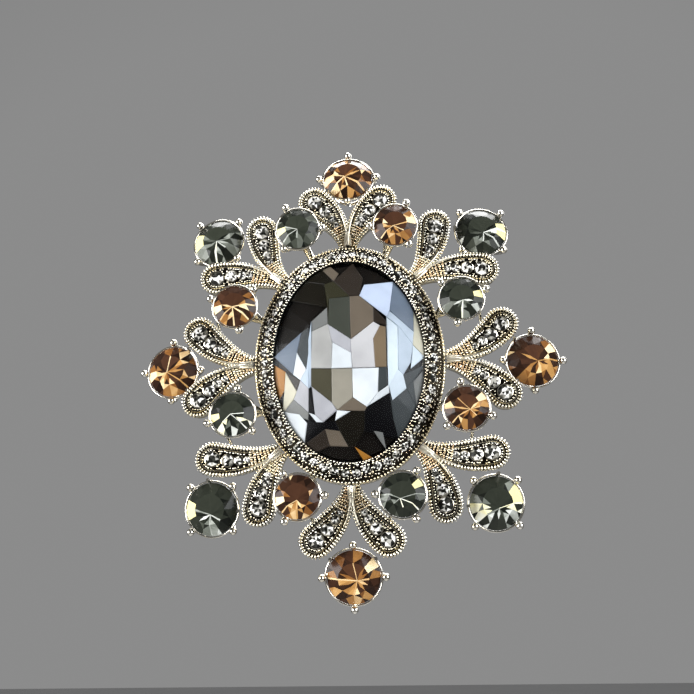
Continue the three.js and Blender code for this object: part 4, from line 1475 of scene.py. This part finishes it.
def catch():
    start = CATCH_X - BARREL_LONG / 2
    end = CATCH_X + BARREL_LONG / 2
    barrel = Shape()
    neck = math.asin(NECK_WIDE / 2 / BARREL_OUTER)
    slot_out = math.asin(BARREL_SLOT / 2 / BARREL_OUTER)
    slot_in = math.asin(BARREL_SLOT / 2 / BARREL_BORE)
    section = arc(BARREL_OUTER, slot_out, math.pi - neck)
    section += [(FOOT_Y - PIN_Y, NECK_WIDE / 2), (FOOT_Y - PIN_Y, -NECK_WIDE / 2)]
    section += arc(BARREL_OUTER, math.pi + neck, 2 * math.pi - slot_out)
    section += arc(BARREL_BORE, 2 * math.pi - slot_in, slot_in, 30)
    along_pin(barrel, section, start, end)
    foot(barrel, CATCH_X)
    metal_part("catch_barrel", barrel, "brooch", STEEL)

    sleeve = Shape()
    first = start - GAP - COLLAR_THIN
    last = end + GAP + COLLAR_THICK
    collar = slotted(SLEEVE_COLLAR, SLEEVE_BORE + 0.02, SLEEVE_SLOT)
    along_pin(sleeve, slotted(SLEEVE_OUTER, SLEEVE_BORE, SLEEVE_SLOT), first, last)
    along_pin(sleeve, collar, first, first + COLLAR_THIN)
    along_pin(sleeve, collar, last - COLLAR_THICK, last)
    out = Y * math.cos(LEVER_TURN) + Z * math.sin(LEVER_TURN)
    across = X.cross(out)
    root = Vector((last - COLLAR_THICK, PIN_Y, 0)) + out * LEVER_ROOT
    tip = root + out * (LEVER_LONG - LEVER_ROOT)
    wide = across * LEVER_WIDE / 2
    extrude(sleeve, [root - wide, tip - wide * LEVER_TAPER, tip + wide * LEVER_TAPER, root + wide], X)
    metal_part("catch_sleeve", sleeve, "catch", STEEL)


# ---- studio --------------------------------------------------------------------------


FLOOR_REACH = 6.0
FLOOR_Z = -0.55
LAMP_SPREAD = math.radians(110)


def floor():
    material, tree, shader = new_material("studio_floor")
    pale = ramp(tree, noise(tree, 3), [(0.3, (0.60, 0.60, 0.605)), (0.7, (0.63, 0.63, 0.635))])
    tree.links.new(pale, shader.inputs["Base Color"])
    shader.inputs["Roughness"].default_value = 0.7
    mesh = bpy.data.meshes.new("studio_floor")
    reach = FLOOR_REACH
    corners = [(-reach, -reach, 0), (reach, -reach, 0), (reach, reach, 0), (-reach, reach, 0)]
    mesh.from_pydata(corners, [], [(0, 1, 2, 3)])
    mesh.materials.append(material)
    piece = bpy.data.objects.new("studio_floor", mesh)
    bpy.context.scene.collection.objects.link(piece)
    piece.location.z = FLOOR_Z


def light(name, azimuth, elevation, distance, size, power, colour=(1, 1, 1)):
    """A soft light aimed at the brooch. Azimuth 0 is straight in front of it."""
    data = bpy.data.lights.new(name, "AREA")
    data.shape = "RECTANGLE"
    data.size, data.size_y = size
    data.energy = power
    data.color = colour
    data.spread = LAMP_SPREAD
    lamp = bpy.data.objects.new(name, data)
    lamp.visible_camera = False
    bpy.context.scene.collection.objects.link(lamp)
    turn, rise = math.radians(azimuth), math.radians(elevation)
    back = Vector((
        math.sin(turn) * math.cos(rise), -math.cos(turn) * math.cos(rise), math.sin(rise)))
    aim = Vector((FACE_X, GIRDLE_Y, FACE_Z)) * MM
    lamp.location = aim + back * distance
    lamp.rotation_mode = "QUATERNION"
    lamp.rotation_quaternion = back.to_track_quat("Z", "Y")


def world():
    scene = bpy.context.scene
    scene.world = bpy.data.worlds.new("studio")
    scene.world.use_nodes = True
    tree = scene.world.node_tree
    background = tree.nodes["Background"]
    place = tree.nodes.new("ShaderNodeTexCoord")
    split = tree.nodes.new("ShaderNodeSeparateXYZ")
    tree.links.new(place.outputs["Generated"], split.inputs[0])
    shade = ramp(tree, split.outputs["Y"], [(0.0, grey(0.2)), (0.6, grey(0.22)), (0.8, grey(0.26))])
    tree.links.new(shade, background.inputs["Color"])
    background.inputs["Strength"].default_value = 1.0


def studio():
    floor()
    world()
    light("key", -62, 3, 0.60, (0.36, 0.40), 2.8)
    light("fill", 56, 12, 0.60, (0.36, 0.50), 2.3, (0.95, 0.97, 1))
    light("top", -20, 108, 0.60, (0.60, 0.30), 2.9)
    light("back", 165, 35, 0.70, (0.40, 0.40), 1.4)


VIEW_ANGLES = (3.73, -15.14, -0.84)  # azimuth, elevation and roll in degrees
VIEW_DISTANCE = 0.1309
VIEW_LENS = 46.8
VIEW_SHIFT = (-0.0027, 0.0183)


def camera():
    """The photograph's view: a little from the right and from below the middle of the face."""
    azimuth, elevation, roll = (math.radians(angle) for angle in VIEW_ANGLES)
    back = Vector((
        math.sin(azimuth) * math.cos(elevation), -math.cos(azimuth) * math.cos(elevation),
        math.sin(elevation)))
    right = Z.cross(back).normalized()
    up = back.cross(right)
    right, up = (
        right * math.cos(roll) + up * math.sin(roll), up * math.cos(roll) - right * math.sin(roll))
    target = Vector((FACE_X, GIRDLE_Y, FACE_Z)) * MM
    data = bpy.data.cameras.new("camera")
    data.sensor_width = 36
    data.lens = VIEW_LENS
    data.shift_x, data.shift_y = VIEW_SHIFT
    data.clip_start = 0.01
    data.clip_end = 20
    view = bpy.data.objects.new("camera", data)
    bpy.context.scene.collection.objects.link(view)
    view.matrix_world = (
        Matrix.Translation(target + back * VIEW_DISTANCE)
        @ Matrix((right, up, back)).transposed().to_4x4())
    bpy.context.scene.camera = view
    bpy.context.scene.view_settings.view_transform = "Standard"


camera()
studio()
cup()
halo()
halo_pave()
petals()
round_stones()
legs()
centre_stone()
bar()
hinge()
pin()
catch()
